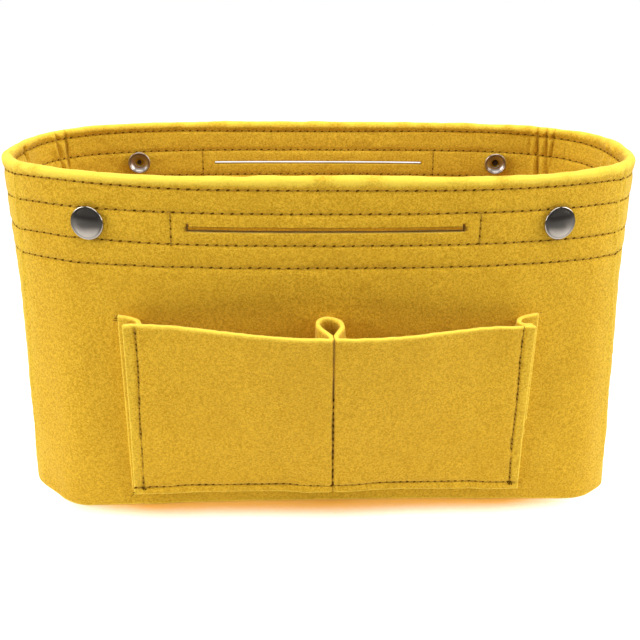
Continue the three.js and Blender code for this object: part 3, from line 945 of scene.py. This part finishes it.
def slot_cells(turns, rows, ends, lips, notched):
    """Which cells the slot takes away, and each point's distance from its edge"""
    level = np.where(rows > FOLD_HEIGHT, FACING_EDGE + SHEET_LENGTH - rows, rows)
    mid_level = (level[1:] + level[:-1]) / 2
    mid_turn = (turns[1:] + turns[:-1]) / 2
    inside = (mid_turn > ends[0]) & (mid_turn < ends[3])
    notch = inside & ((mid_turn < ends[1]) | (mid_turn > ends[2]))
    slot = (mid_level > lips[0]) & (mid_level < lips[1])
    high = (mid_level >= lips[1]) & (mid_level < lips[2])
    holes = slot[:, None] & inside
    if notched:
        holes |= high[:, None] & notch
    across = np.maximum(ends[0] - turns, turns - ends[3]) * RIM_PERIMETER
    up = np.maximum(lips[0] - level, level - lips[1])
    gap = np.hypot(np.maximum(across, 0)[None, :], np.maximum(up, 0)[:, None])
    return holes, gap


# Rows of stitches round the rim


def outer_skin(turn, distance):
    return wall_face(turn, distance, 0)


# Where rows are sewn unevenly: turn, reach along the rim and how much higher they run
UNEVEN_ROWS = (
    ((-0.175, 52, 1.6), (0.370, 60, 1.7), (0.630, 50, 1.3)),
    ((-0.170, 50, 0.4), (0.350, 50, 0.6)),
    ((-0.165, 46, 1.0),),
    (),
)
LOW_CORNERS = ((0.208, 20, -1.7), (0.792, 20, -1.7))


def rim_seams():
    seams = []
    step = 0.5 / RIM_PERIMETER
    count = round(RIM_PERIMETER / STITCH)
    for index, level in enumerate(ROWS):
        turns = (np.arange(count + 1) + 0.37 * index) / count
        higher = swells(turns, UNEVEN_ROWS[index] + LOW_CORNERS)
        for distances in (level + higher, facing_at(level) - higher):
            seams.append(seam_on(outer_skin, turns, distances, step))
    for side in ("front", "back"):
        for end in (-FRAME_REACH, FRAME_REACH):
            levels = evenly(ROWS[2], ROWS[1], UPRIGHT_STITCH)
            turns = np.full(len(levels), turn_at(side, end))
            for distances in (levels, facing_at(levels)):
                seams.append(seam_on(outer_skin, turns, distances, step))
    return seams


WALL_SEAMS = rim_seams()
side_share = SIDE_PANEL_WIDTH / BASE_PERIMETER
seam_turns = [middle + end * side_share / 2 for middle in (0.25, 0.75) for end in (-1, 1)]
wall_pieces = {
    "front_wall": wall("front_wall_felt", seam_turns[3] - 1, seam_turns[0], "front"),
    "right_wall": wall("right_wall_felt", seam_turns[0], seam_turns[1]),
    "back_wall": wall("back_wall_felt", seam_turns[1], seam_turns[2], "back"),
    "left_wall": wall("left_wall_felt", seam_turns[2], seam_turns[3]),
}
for node, piece in wall_pieces.items():
    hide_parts(node)
    width = side_share if node in ("left_wall", "right_wall") else 0.5 - side_share
    width *= (RIM_PERIMETER + BASE_PERIMETER) / 2
rim_thread = sew("rim", WALL_SEAMS)


# Base


def base_piece():
    turns = np.linspace(0, 1, 241)[:-1]
    bm = bmesh.new()
    inward = FELT + LAYER_GAP - flare(turns, 0)
    corners = [bm.verts.new(point) for point in wall_point(turns, 0, inward)]
    second_layer(bm, [bm.faces.new(corners)], FELT)
    sharp = [edge for edge in bm.edges if abs(edge.verts[0].co.z - edge.verts[1].co.z) < 0.1]
    bmesh.ops.bevel(bm, geom=sharp, offset=0.5, segments=3, profile=0.5, affect="EDGES")
    bmesh.ops.recalc_face_normals(bm, faces=bm.faces)
    return finished("base_felt", bm, WALL_FELT)


base = base_piece()
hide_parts("base_panel")


# Front pocket

POCKET_HALF = POCKET_WIDTH / 2
GUSSET_STACK = 2 * FELT * SEWN_THICKNESS + 3 * SEWN_GAP
PLEAT_STACK = GUSSET_STACK + SEWN_GAP


def pocket_share(height):
    return (height - POCKET_BOTTOM) / (POCKET_TOP - POCKET_BOTTOM)


def opening_share(share):
    return share**POCKET_OPENING_POWER


def folded_thickness(share):
    """The felt of the folds, which the bottom seam squeezes flat"""
    return FELT * mix(SEWN_THICKNESS, 1, opening_share(share))


def panel_half(share):
    """Half the panel's width, which draws in a little towards the top"""
    return POCKET_HALF - mix(POCKET_INSET_BOTTOM, POCKET_INSET_TOP, share)


def panel_opening(distance, share):
    """From the wall to the panel's inner face, at a distance from the pocket's centre"""
    out = np.abs(distance)
    pleat_end = PLEAT_WIDTH_BOTTOM / 2
    gusset_end = POCKET_HALF - GUSSET_WIDTH_BOTTOM
    over_pleat = 1 - ease(pleat_end, 2 * pleat_end, out)
    over_gusset = ease(gusset_end - pleat_end, gusset_end - LAYER_GAP, out)
    low = np.maximum(
        mix(PANEL_REST, PLEAT_STACK, over_pleat), mix(PANEL_REST, GUSSET_STACK, over_gusset)
    )
    bow_run = POCKET_HALF - POCKET_BOW_START - PLEAT_WIDTH_TOP / 2
    bow = (1 + np.cos(math.pi * np.clip((out - PLEAT_WIDTH_TOP / 2) / bow_run, 0, 1))) / 2
    high = mix(POCKET_EDGE_OPENING, POCKET_CENTRE_OPENING, bow)
    return mix(low, high, opening_share(share))


def arc(centre, radius, start, end, steps):
    angle = np.linspace(start, end, steps + 1)
    return np.stack(
        [centre[0] + radius * np.cos(angle), centre[1] + radius * np.sin(angle)], axis=1
    )


def pleat_half(share):
    """Right half of the pleat in plan, from the panel in to the back of its loop"""
    wide = opening_share(share)
    thick = folded_thickness(share)
    half_gap = (thick + SEWN_GAP) / 2
    bend = FELT / 2 + LAYER_GAP
    panel_line = panel_opening(0, share) + FELT / 2
    stem = mix(0.3, PLEAT_STEM_TOP, wide)
    stem_end = np.array([half_gap, panel_line - bend - stem])
    reach = mix(PLEAT_WIDTH_BOTTOM, PLEAT_WIDTH_TOP, wide) / 2 - thick / 2
    radius = mix(half_gap, reach - PLEAT_BACK_FLAT / 2, wide)
    centre = np.array([reach - radius, SEWN_GAP + thick / 2 + radius])
    long = mix(1, PLEAT_LONG, wide)
    back = np.array([0, SEWN_GAP + thick / 2])
    to_stem = (stem_end - back) / (1, long) + back - centre
    length = np.linalg.norm(to_stem)
    touch = math.atan2(to_stem[1], to_stem[0]) % (2 * math.pi)
    touch -= math.acos(min(radius / length, 1))
    start = touch - 2 * math.pi if touch > math.pi else touch
    return np.vstack(
        [
            arc((half_gap + bend, panel_line - bend), bend, math.pi / 2, math.pi, 7),
            stem_end * 0.5 + np.array([half_gap, panel_line - bend]) * 0.5,
            stem_end,
            (arc(centre, radius, start, -math.pi / 2, 18) - back) * (1, long) + back,
        ]
    )


def pleat_place(share):
    """How far right of the pocket's centre the panel is pinched together"""
    return mix(PLEAT_SHIFT_BOTTOM, PLEAT_SHIFT, share)


def panel_path(share):
    """The pocket panel's middle line in plan, from its left edge to its right, and its thickness"""
    right = pleat_half(share)
    run_start = right[0, 0]
    edge = panel_half(share)
    near = edge - np.array(PANEL_EDGE_STEPS)
    outs = np.concatenate([near, np.linspace(edge - 9, run_start, PANEL_COLUMNS)[:-1]])
    run = np.stack([outs, panel_opening(outs, share) + FELT / 2], axis=1)
    pinch = pleat_place(share)
    shift = pinch * (1 - outs / edge)
    left = np.stack([-run[:, 0] + shift, run[:, 1]], axis=1)
    right_run = np.stack([run[:, 0] + shift, run[:, 1]], axis=1)
    lean = PLEAT_LEAN * opening_share(share) * (right[:, 1] / right[0, 1] - 1) + pinch
    lean = np.stack([lean, 0 * lean], axis=1)
    path = np.vstack([left, right * (-1, 1) + lean, (right + lean)[::-1], right_run[::-1]])
    thick, bend = folded_thickness(share), 8
    half = np.full(len(run) + len(right), FELT)
    half[len(run) : len(run) + bend] = np.linspace(FELT, thick, bend)
    half[len(run) + bend :] = thick
    return path, np.concatenate([half, half[::-1]])


def gusset_path(side, share):
    """The middle line in plan of a strip folded to a C, and its thickness"""
    thick = folded_thickness(share)
    wall_line = SEWN_GAP + thick / 2
    panel_line = panel_opening(panel_half(share), share) - SEWN_GAP - thick / 2
    radius = (panel_line - wall_line) / 2
    width = mix(GUSSET_WIDTH_BOTTOM, GUSSET_WIDTH_TOP, opening_share(share))
    bend = POCKET_HALF - width + FELT / 2 + radius
    fold = arc((bend, wall_line + radius), radius, -math.pi / 2, -3 * math.pi / 2, 16)
    near = np.array((0, *EDGE_STEPS))
    wall_leg, panel_leg = (
        np.concatenate([end - near, np.linspace(end - 1.4, bend, 6)[:-1]])
        for end in (POCKET_HALF, panel_half(share) - LAYER_GAP)
    )
    half = np.vstack(
        [
            np.stack([wall_leg, np.full(len(wall_leg), wall_line)], axis=1),
            fold,
            np.stack([panel_leg[::-1], np.full(len(panel_leg), panel_line)], axis=1),
        ]
    )
    return half * (side, 1), np.full(len(half), thick)


def beside(path, distance):
    """The line at a distance to the left of a path"""
    before = np.vstack([path[:1], path[:-1]])
    after = np.vstack([path[1:], path[-1:]])
    enter, leave = path - before, after - path
    enter[0] = leave[0]
    leave[-1] = enter[-1]
    enter = unit(enter)
    along = unit(enter + unit(leave))
    spread = np.maximum((along * enter).sum(axis=1), 0.6)[:, None]
    return path + np.stack([-along[:, 1], along[:, 0]], axis=1) * distance[:, None] / spread


def on_front(distance, off, height):
    """A point off the front wall's outer face"""
    return wall_point(turn_at("front", distance + POCKET_SHIFT, height), height, -off)


def standing_sheet(path_at, heights, to_wall):
    """Lays a sheet along a path in plan that changes with its share of the height. Gives its
    points and how much lighter its raw edges are drawn, for loose fibres and a painted highlight."""
    bottom, top = heights[0], heights[-1]
    laid, run = [], []
    for height in heights:
        path, thick = path_at((height - bottom) / (top - bottom))
        faces = [beside(path, step) for step in (thick / 2, -thick / 2)]
        laid.append(np.stack([to_wall(*face.T, height) for face in faces], axis=1))
        steps = np.linalg.norm(np.diff(path, axis=0), axis=1)
        run.append(np.concatenate([[0], np.cumsum(steps)]))
    laid, run = np.array(laid), np.array(run)
    level = np.array(heights)[:, None] + 0 * run
    ends = np.minimum(run, run[:, -1:] - run)
    sides = np.minimum(ends, level - bottom)
    flap = 0.3 * (1 - ease(3.4, 5.0, ends))
    wear_and_light = np.maximum.reduce([0.85 * frayed_and_lit(sides, 0.9), frayed_and_lit(top - level, 2.3), flap])
    near_top = np.clip(1 - (top - level) / 4, 0, 1)
    ragged = near_top * lumpy(laid.mean(axis=2), POCKET_EDGE_LUMPS)
    laid[..., 2] += ragged[..., None]
    border = np.minimum(sides, top - level)
    return thinned(laid, edge_thickness(border, least=0.85)), wear_and_light


def pocket_heights():
    heights = set(np.arange(POCKET_BOTTOM, POCKET_TOP, POCKET_PITCH))
    steps = (*EDGE_STEPS, 3.0, 3.5, 4.0, 4.5, 5.0, 5.8)
    heights |= {POCKET_BOTTOM + step for step in steps}
    heights |= {POCKET_TOP - step for step in (0, *EDGE_STEPS, 1.8)}
    return ordered(heights)


def uneven(laid, amount, size, seed):
    """Gives a sheet's outer face the unevenness of matted wool"""
    laid = laid.copy()
    skin = laid[:, :, 0]
    out = unit(skin - laid[:, :, 1])
    laid[:, :, 0] = skin + out * (amount * lumps(skin, size, seed))[..., None]
    return laid


def panel_skin(distance, height):
    """A point of the pocket panel's outer face, at a distance from the pocket's centre"""
    share = pocket_share(height)
    pinch = pleat_place(share)
    out = distance - pinch
    out = np.abs(out) / (1 - np.sign(out) * pinch / panel_half(share))
    return on_front(distance, panel_opening(out, share) + FELT, height)


def pocket_seams():
    seams = []
    rise = evenly(POCKET_BOTTOM + 3.6, POCKET_TOP - 1.5, SIDE_STITCH)
    share = pocket_share(rise)
    for side in (-1, 1):
        sway = 0.25 * np.sin(rise / 9 + side)
        distances = side * (panel_half(share) - mix(*SIDE_SEAM_INSETS, share)) + sway
        seams.append(seam_on(panel_skin, distances, rise))
    reach = panel_half(0) - 0.8
    along = evenly(-reach, reach, BOTTOM_STITCH)
    wave = BOTTOM_SEAM + 0.7 * np.tanh(2.5 * np.sin((np.abs(along) / reach) * math.pi))
    seams.append(seam_on(panel_skin, along, wave))
    return seams


def sink(laid, depth):
    """Lets a pocket sheet sink by this depth at its top edge, and less below it"""
    share = np.clip((laid[..., 2] - POCKET_TOP + SINK_REACH) / SINK_REACH, 0, 1) ** 2
    laid[..., 2] -= depth * share


POCKET_SEAMS = pocket_seams()
pocket_laid, pocket_wear_and_light = standing_sheet(panel_path, pocket_heights(), on_front)
across = pocket_laid[..., 0] - POCKET_SHIFT
end_share = ease(*(POCKET_HALF - step for step in PANEL_ENDS), np.abs(across))
sag = np.where(across < 0, PANEL_LEFT_DROP, PANEL_RIGHT_DROP) * end_share
for middle, reach, depth in PANEL_SAGS:
    sag += depth * swell(across - middle, reach)
corner_share = ease(*(POCKET_HALF - step for step in PANEL_ROUNDING), np.abs(across))
sag += PANEL_CORNER_DROP * corner_share
sink(pocket_laid, sag)
pocket_laid = pressed(uneven(pocket_laid, 0.16, 7, 21), POCKET_SEAMS)
pocket = sheet_of_felt("pocket_panel_felt", pocket_laid, pocket_wear_and_light)
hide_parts("pocket_panel")

for side, word in ((-1, "left"), (1, "right")):
    laid, wear_and_light = standing_sheet(partial(gusset_path, side), pocket_heights(), on_front)
    edge = laid[-1].mean(axis=1)
    along = np.append(0, np.cumsum(np.linalg.norm(np.diff(edge, axis=0), axis=1)))
    fall = GUSSET_DROPS[word] + GUSSET_FALL * ease(0.1, 0.65, along / along[-1])
    sink(laid, fall[:, None])
    laid = uneven(laid, 0.08, 7, 22 + side)
    gusset = sheet_of_felt(f"pocket_{word}_gusset_felt", laid, wear_and_light)
    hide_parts(f"pocket_{word}_gusset")

pocket_thread = sew("pocket", POCKET_SEAMS)


def pinch_marks():
    """Painted shade where the pleat is sewn together, and a knot at the pocket's lower corners"""
    draw = np.random.default_rng(51)
    rise = evenly(POCKET_BOTTOM + 5, POCKET_BOTTOM + 58, STITCH)
    row = seam_on(panel_skin, pleat_place(pocket_share(rise)), rise)
    marks = []
    for point, out in zip(row["points"], row["outward"]):
        size = (1.1 * draw.uniform(0.8, 1.3), 0.36, 0.7)
        marks.append(standing(UP, out, point - out * 0.85, size, draw.uniform(-0.1, 0.1)))
    for side in (-1, 1):
        for _ in range(5):
            across = side * (panel_half(0.04) - 4.4) + draw.uniform(-1.0, 1.4)
            height = BOTTOM_SEAM + draw.uniform(-0.8, 0.9)
            knot = seam_on(panel_skin, np.array([across]), np.array([height]))
            point, out = knot["points"][0], knot["outward"][0]
            turned = draw.uniform(0, math.pi)
            marks.append(standing(UP, out, point - out * 0.3, (0.8, 0.34, 0.36), turned))
    return scattered("pleat_needle_marks", hole_shape, marks, NEEDLE_SHADE_AND_DARK_THREAD)


# Where short ends and tufts hang: distance, way off the wall, height and count
LOOSE_SPOTS = (
    (-POCKET_HALF - 0.6, 1.2, POCKET_TOP - 1.5, 8),
    (POCKET_HALF + 0.4, 1.2, POCKET_TOP - 2, 4),
    (-POCKET_HALF + 1, 3.0, POCKET_BOTTOM + 1, 3),
    (POCKET_HALF - 1, 3.0, POCKET_BOTTOM + 1, 3),
)


def loose_ends():
    """Short ends of thread and tufts of wool at the pocket's upper corners and seams"""
    draw = np.random.default_rng(52)
    light, dark = [], []
    for distance, off, height, count in LOOSE_SPOTS:
        for _ in range(count):
            across = draw.normal(distance, 0.7)
            away = off + draw.uniform(-0.4, 1.2)
            middle = on_front(across, away, draw.normal(height, 1.8))
            along = draw.normal(size=3)
            along /= np.linalg.norm(along)
            out = np.cross(along, draw.normal(size=3))
            out /= np.linalg.norm(out)
            size = (draw.uniform(0.9, 2.0), 0.17, 0.17)
            kind = dark if draw.random() < 0.35 else light
            kind.append(standing(along, out, middle, size, 0))
    return (
        scattered("pocket_wool_tufts", stitch_shape, light, THREAD),
        scattered("pocket_thread_ends", stitch_shape, dark, NEEDLE_SHADE_AND_DARK_THREAD),
    )


pocket_thread = (*pocket_thread, pinch_marks(), *loose_ends())


# Inside pockets


def inside_pocket(name, side, compartments):
    def path_at(share):
        x = np.linspace(-0.5, 0.5, INSIDE_POCKET_COLUMNS * compartments + 1)
        bulge = np.sin(math.pi * (x + 0.5) * compartments) ** 2
        off = LAYER_GAP + FELT / 2 + INSIDE_POCKET_BULGE * bulge * opening_share(share)
        return np.stack([x * INSIDE_POCKET_WIDTH, off], axis=1), np.full(len(x), FELT)

    def to_wall(distance, off, height):
        return wall_point(turn_at(side, distance, height), height, FELT + off)

    heights = ordered(
        set(np.arange(INSIDE_POCKET_BOTTOM, INSIDE_POCKET_TOP, INSIDE_POCKET_PITCH))
        | {INSIDE_POCKET_BOTTOM + step for step in EDGE_STEPS}
        | {INSIDE_POCKET_TOP - step for step in (0, *EDGE_STEPS, 2.0)}
    )
    laid, wear_and_light = standing_sheet(path_at, heights, to_wall)
    return sheet_of_felt(name, laid, wear_and_light)


for side, compartments in (("back", 3), ("front", 2)):
    piece = inside_pocket(f"inside_{side}_pocket_felt", side, compartments)
    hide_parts(f"inside_{side}_pocket")


# Press fasteners


def snap_frame(side, distance, height):
    """Stands on the wall's outer face, with y pointing out of the wall"""
    turn = turn_at(side, distance, height)
    point = wall_point(turn, height, 0)
    low = wall_point(turn, height - CAP_RADIUS, 0)
    high = wall_point(turn, height + CAP_RADIUS, 0)
    inner = wall_point(turn, height, 1) - point
    along = np.array([-inner[1], inner[0], 0])
    out = Vector(np.cross(high - low, along)).normalized()
    if out.dot(Vector(inner)) > 0:
        out = -out
    turned = Vector((0, 1, 0)).rotation_difference(out).to_matrix().to_4x4()
    return Matrix.Translation(Vector(point)) @ turned


def spun(name, profile, place, material):
    """Spins a closed profile of radius and height about the fastener's axis"""
    bm = bmesh.new()
    ring = [bm.verts.new((radius, height, 0)) for radius, height in profile]
    edges = [bm.edges.new(pair) for pair in zip(ring[:-1], ring[1:])]
    if profile[0][0] > 1e-6:
        edges.append(bm.edges.new((ring[-1], ring[0])))
    bmesh.ops.spin(
        bm,
        geom=ring + edges,
        cent=(0, 0, 0),
        axis=(0, 1, 0),
        angle=2 * math.pi,
        steps=56,
        use_merge=True,
    )
    bmesh.ops.remove_doubles(bm, verts=bm.verts, dist=1e-4)
    bmesh.ops.transform(bm, matrix=place, verts=bm.verts)
    bmesh.ops.recalc_face_normals(bm, faces=bm.faces)
    return finished(name, bm, material)


def rounded(centre, radius, start, end, steps):
    points = arc(centre, radius, math.radians(start), math.radians(end), steps)
    return [tuple(point) for point in points]


def cap_profile():
    dome = [(r, 2.9 - 0.85 * (r / 7.0) ** 2) for r in np.linspace(0, 6.7, 10)]
    lip = rounded((7.0, 1.55), 0.6, 72, -90, 9)
    under = [(6.2, 0.35), (6.2, 0.75), (6.9, 1.0)]
    inside = [(6.6, 1.8), (4.0, 2.0), (0, 2.2)]
    return dome + lip + under + inside


def socket_profile():
    seat = SNAP_SEAT
    return [
        (3.4, seat),
        (5.1, seat),
        (5.7, seat - 0.3),
        *rounded((5.65, seat - 2.5), 0.5, 30, -180, 9),
        (4.5, seat - 1.9),
        (3.6, seat - 1.35),
        (2.75, seat - 1.2),
        (2.4, seat - 1.35),
        (2.4, seat - 0.8),
        (3.3, seat - 0.8),
    ]


def stud_profile():
    seat = SNAP_SEAT
    return [
        (1.5, seat),
        (5.0, seat),
        *rounded((5.0, seat - 0.55), 0.5, 70, -70, 6),
        (2.6, seat - 0.85),
        (2.0, seat - 1.2),
        *rounded((1.5, seat - 2.6), 0.8, 40, -80, 6),
        (1.5, seat - 3.4),
    ]


for word, (side, distance, height) in SNAPS.items():
    place = snap_frame(side, distance, height)
    cap = spun(f"{word}_cap_shell", cap_profile(), place, NICKEL)
    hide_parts(f"{word}_snap_cap")
    if side == "front":
        inner = spun(f"{word}_stud_shell", stud_profile(), place, NICKEL)
        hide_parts(f"{word}_snap_stud")
    else:
        inner = spun(f"{word}_socket_shell", socket_profile(), place, PALE_NICKEL)
        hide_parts(f"{word}_snap_socket")

# The posts and springs take the dark steel, which also paints the shade in the sockets' bores
for node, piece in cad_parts.items():
    if node.endswith("_post") or node.endswith("_spring"):
        for slot in piece.material_slots:
            slot.material = STEEL_AND_BORE_SHADE


# Studio


# How far from the middle the floor stays bright, how dark a corner counts as touching the felt,
# and how far along the length the painted shadow in the felt's colour reaches, in metres
BRIGHT_FLOOR = {"From Min": 0.3, "From Max": 0.56}
CONTACT_SHADE = {"From Min": 0.52, "From Max": 0.86}
CONTACT_ENDS = {"From Min": 0.095, "From Max": 0.145}
CONTACT_REACH = 0.02
# Painted contact shadow, tinted as if by light bounced off the felt; only the camera sees it
CONTACT_SHADOW_COLOUR = (0.55, 0.27, 0.05, 1)
FLOOR_COLOUR = (0.95, 0.95, 0.95, 1)
FAR_COLOUR = (0.14, 0.14, 0.14, 1)
FLOOR_LIFT = 0.45


def floor_material():
    """White and bright round the organizer. Straight from the camera the far floor is white too,
    and close to the felt the camera sees a painted shadow tinted in the felt's colour."""
    material, nodes, links = new_material("studio_floor")
    shader = add(nodes, "BsdfPrincipled", {"Roughness": 0.35})
    place = add(nodes, "NewGeometry")
    length = add(nodes, "VectorMath", operation="LENGTH")
    far = add(nodes, "MapRange", BRIGHT_FLOOR, interpolation_type="SMOOTHSTEP")
    near = add(nodes, "AmbientOcclusion", {"Distance": CONTACT_REACH}, samples=8)
    touch = add(nodes, "MapRange", CONTACT_SHADE)
    axes = add(nodes, "SeparateXYZ")
    off_middle = add(nodes, "Math", operation="ABSOLUTE")
    ends = add(nodes, "MapRange", CONTACT_ENDS, interpolation_type="SMOOTHSTEP")
    clear = add(nodes, "Math", operation="MAXIMUM")
    unseen = add(nodes, "Math", {0: 1.0}, operation="SUBTRACT")
    plain = add(nodes, "Math", operation="MAXIMUM")
    # Painted contact shadow in the felt's bounced colour, for camera rays only
    tinted = add(nodes, "Mix", {"A": CONTACT_SHADOW_COLOUR, "B": FLOOR_COLOUR}, data_type="RGBA")
    shaded = add(nodes, "Mix", {"B": FAR_COLOUR}, data_type="RGBA")
    glow = add(nodes, "Emission")
    path = add(nodes, "LightPath")
    lift = add(nodes, "MapRange", {"To Min": FLOOR_LIFT})
    seen = add(nodes, "Math", operation="MULTIPLY")
    both = add(nodes, "AddShader")
    join(
        links,
        (place, "Position", length, 0),
        (length, "Value", far, "Value"),
        (near, "AO", touch, "Value"),
        (place, "Position", axes, 0),
        (axes, "X", off_middle, 0),
        (off_middle, 0, ends, "Value"),
        (touch, "Result", clear, 0),
        (ends, "Result", clear, 1),
        (path, "Is Camera Ray", unseen, 1),
        (clear, 0, plain, 0),
        (unseen, 0, plain, 1),
        (plain, 0, tinted, "Factor"),
        (far, "Result", shaded, "Factor"),
        (tinted, "Result", shaded, "A"),
        (shaded, "Result", shader, "Base Color"),
        (path, "Is Camera Ray", seen, 0),
        (far, "Result", lift, "Value"),
        (lift, "Result", seen, 1),
        (tinted, "Result", glow, "Color"),
        (seen, 0, glow, "Strength"),
        (shader, 0, both, 0),
        (glow, 0, both, 1),
        (both, 0, add(nodes, "OutputMaterial"), "Surface"),
    )
    return material


def studio_floor():
    bm = bmesh.new()
    bmesh.ops.create_grid(bm, x_segments=1, y_segments=1, size=8)
    mesh = bpy.data.meshes.new("studio_floor")
    bm.to_mesh(mesh)
    bm.free()
    mesh.materials.append(floor_material())
    floor = bpy.data.objects.new("studio_floor", mesh)
    bpy.context.scene.collection.objects.link(floor)


def softbox(name, place, aim_height, size, power):
    lamp = bpy.data.lights.new(name, "AREA")
    lamp.shape = "RECTANGLE"
    lamp.size, lamp.size_y = size
    lamp.energy = power
    light = bpy.data.objects.new(name, lamp)
    light.location = place
    aim = Vector((0, 0, aim_height)) - Vector(place)
    light.rotation_euler = aim.to_track_quat("-Z", "Y").to_euler()
    bpy.context.scene.collection.objects.link(light)


def studio_world():
    """White where it is seen, and a weak fill light otherwise"""
    world = bpy.data.worlds.new("studio")
    bpy.context.scene.world = world
    world.use_nodes = True
    nodes, links = nodes_of(world.node_tree)
    white, fill = (
        add(nodes, "Background", {"Color": (1, 1, 1, 1), "Strength": strength})
        for strength in (1.0, 0.12)
    )
    path = add(nodes, "LightPath")
    seen = add(nodes, "Math", operation="MAXIMUM")
    choose = add(nodes, "MixShader")
    join(
        links,
        (path, "Is Camera Ray", seen, 0),
        (path, "Is Transmission Ray", seen, 1),
        (seen, 0, choose, "Fac"),
        (fill, 0, choose, 1),
        (white, 0, choose, 2),
        (choose, 0, add(nodes, "OutputWorld"), "Surface"),
    )


# The camera: where it stands in metres, how far it looks down, aside and tilts in degrees, and
# its lens
CAMERA_PLACE = (-0.014662, -0.342984, 0.244061)
CAMERA_TURNS = (19.689, 2.353, -0.764)
LENS_LENGTH = 39.378
LENS_SHIFT = -0.13798

# Lamps: place in metres, the height they point at, size and power
LAMPS = {
    "key_softbox": ((0, -1.05, 1.0), 0.1, (1.2, 0.8), 2),
    "top_softbox": ((0, -0.1, 1.3), 0.1, (1.2, 0.9), 15),
    "back_softbox": ((0, 1.1, 1.0), 0.1, (1.2, 0.8), 10),
    "left_softbox": ((-1.1, -0.3, 0.6), 0.08, (0.7, 0.7), 11.5),
    "right_softbox": ((1.1, -0.3, 0.6), 0.08, (0.7, 0.7), 11.5),
}


def studio_camera():
    """A little above the rim, with the frame shifted below the lens's axis"""
    down, side, roll = (math.radians(angle) for angle in CAMERA_TURNS)
    ahead = Vector(
        (math.sin(side) * math.cos(down), math.cos(side) * math.cos(down), -math.sin(down))
    )
    right = Vector((math.cos(side), -math.sin(side), 0))
    below = ahead.cross(right)
    turned_right = right * math.cos(roll) + below * math.sin(roll)
    turned_below = below * math.cos(roll) - right * math.sin(roll)
    lens = bpy.data.cameras.new("camera")
    lens.sensor_width = 36
    lens.lens = LENS_LENGTH
    lens.shift_y = LENS_SHIFT
    lens.clip_start = 0.01
    camera = bpy.data.objects.new("camera", lens)
    turn = Matrix((turned_right, -turned_below, -ahead)).transposed().to_4x4()
    camera.matrix_world = Matrix.Translation(CAMERA_PLACE) @ turn
    bpy.context.scene.collection.objects.link(camera)
    bpy.context.scene.camera = camera


studio_floor()
studio_world()
for name, lamp in LAMPS.items():
    softbox(name, *lamp)
studio_camera()

bpy.context.scene.view_settings.view_transform = "Standard"
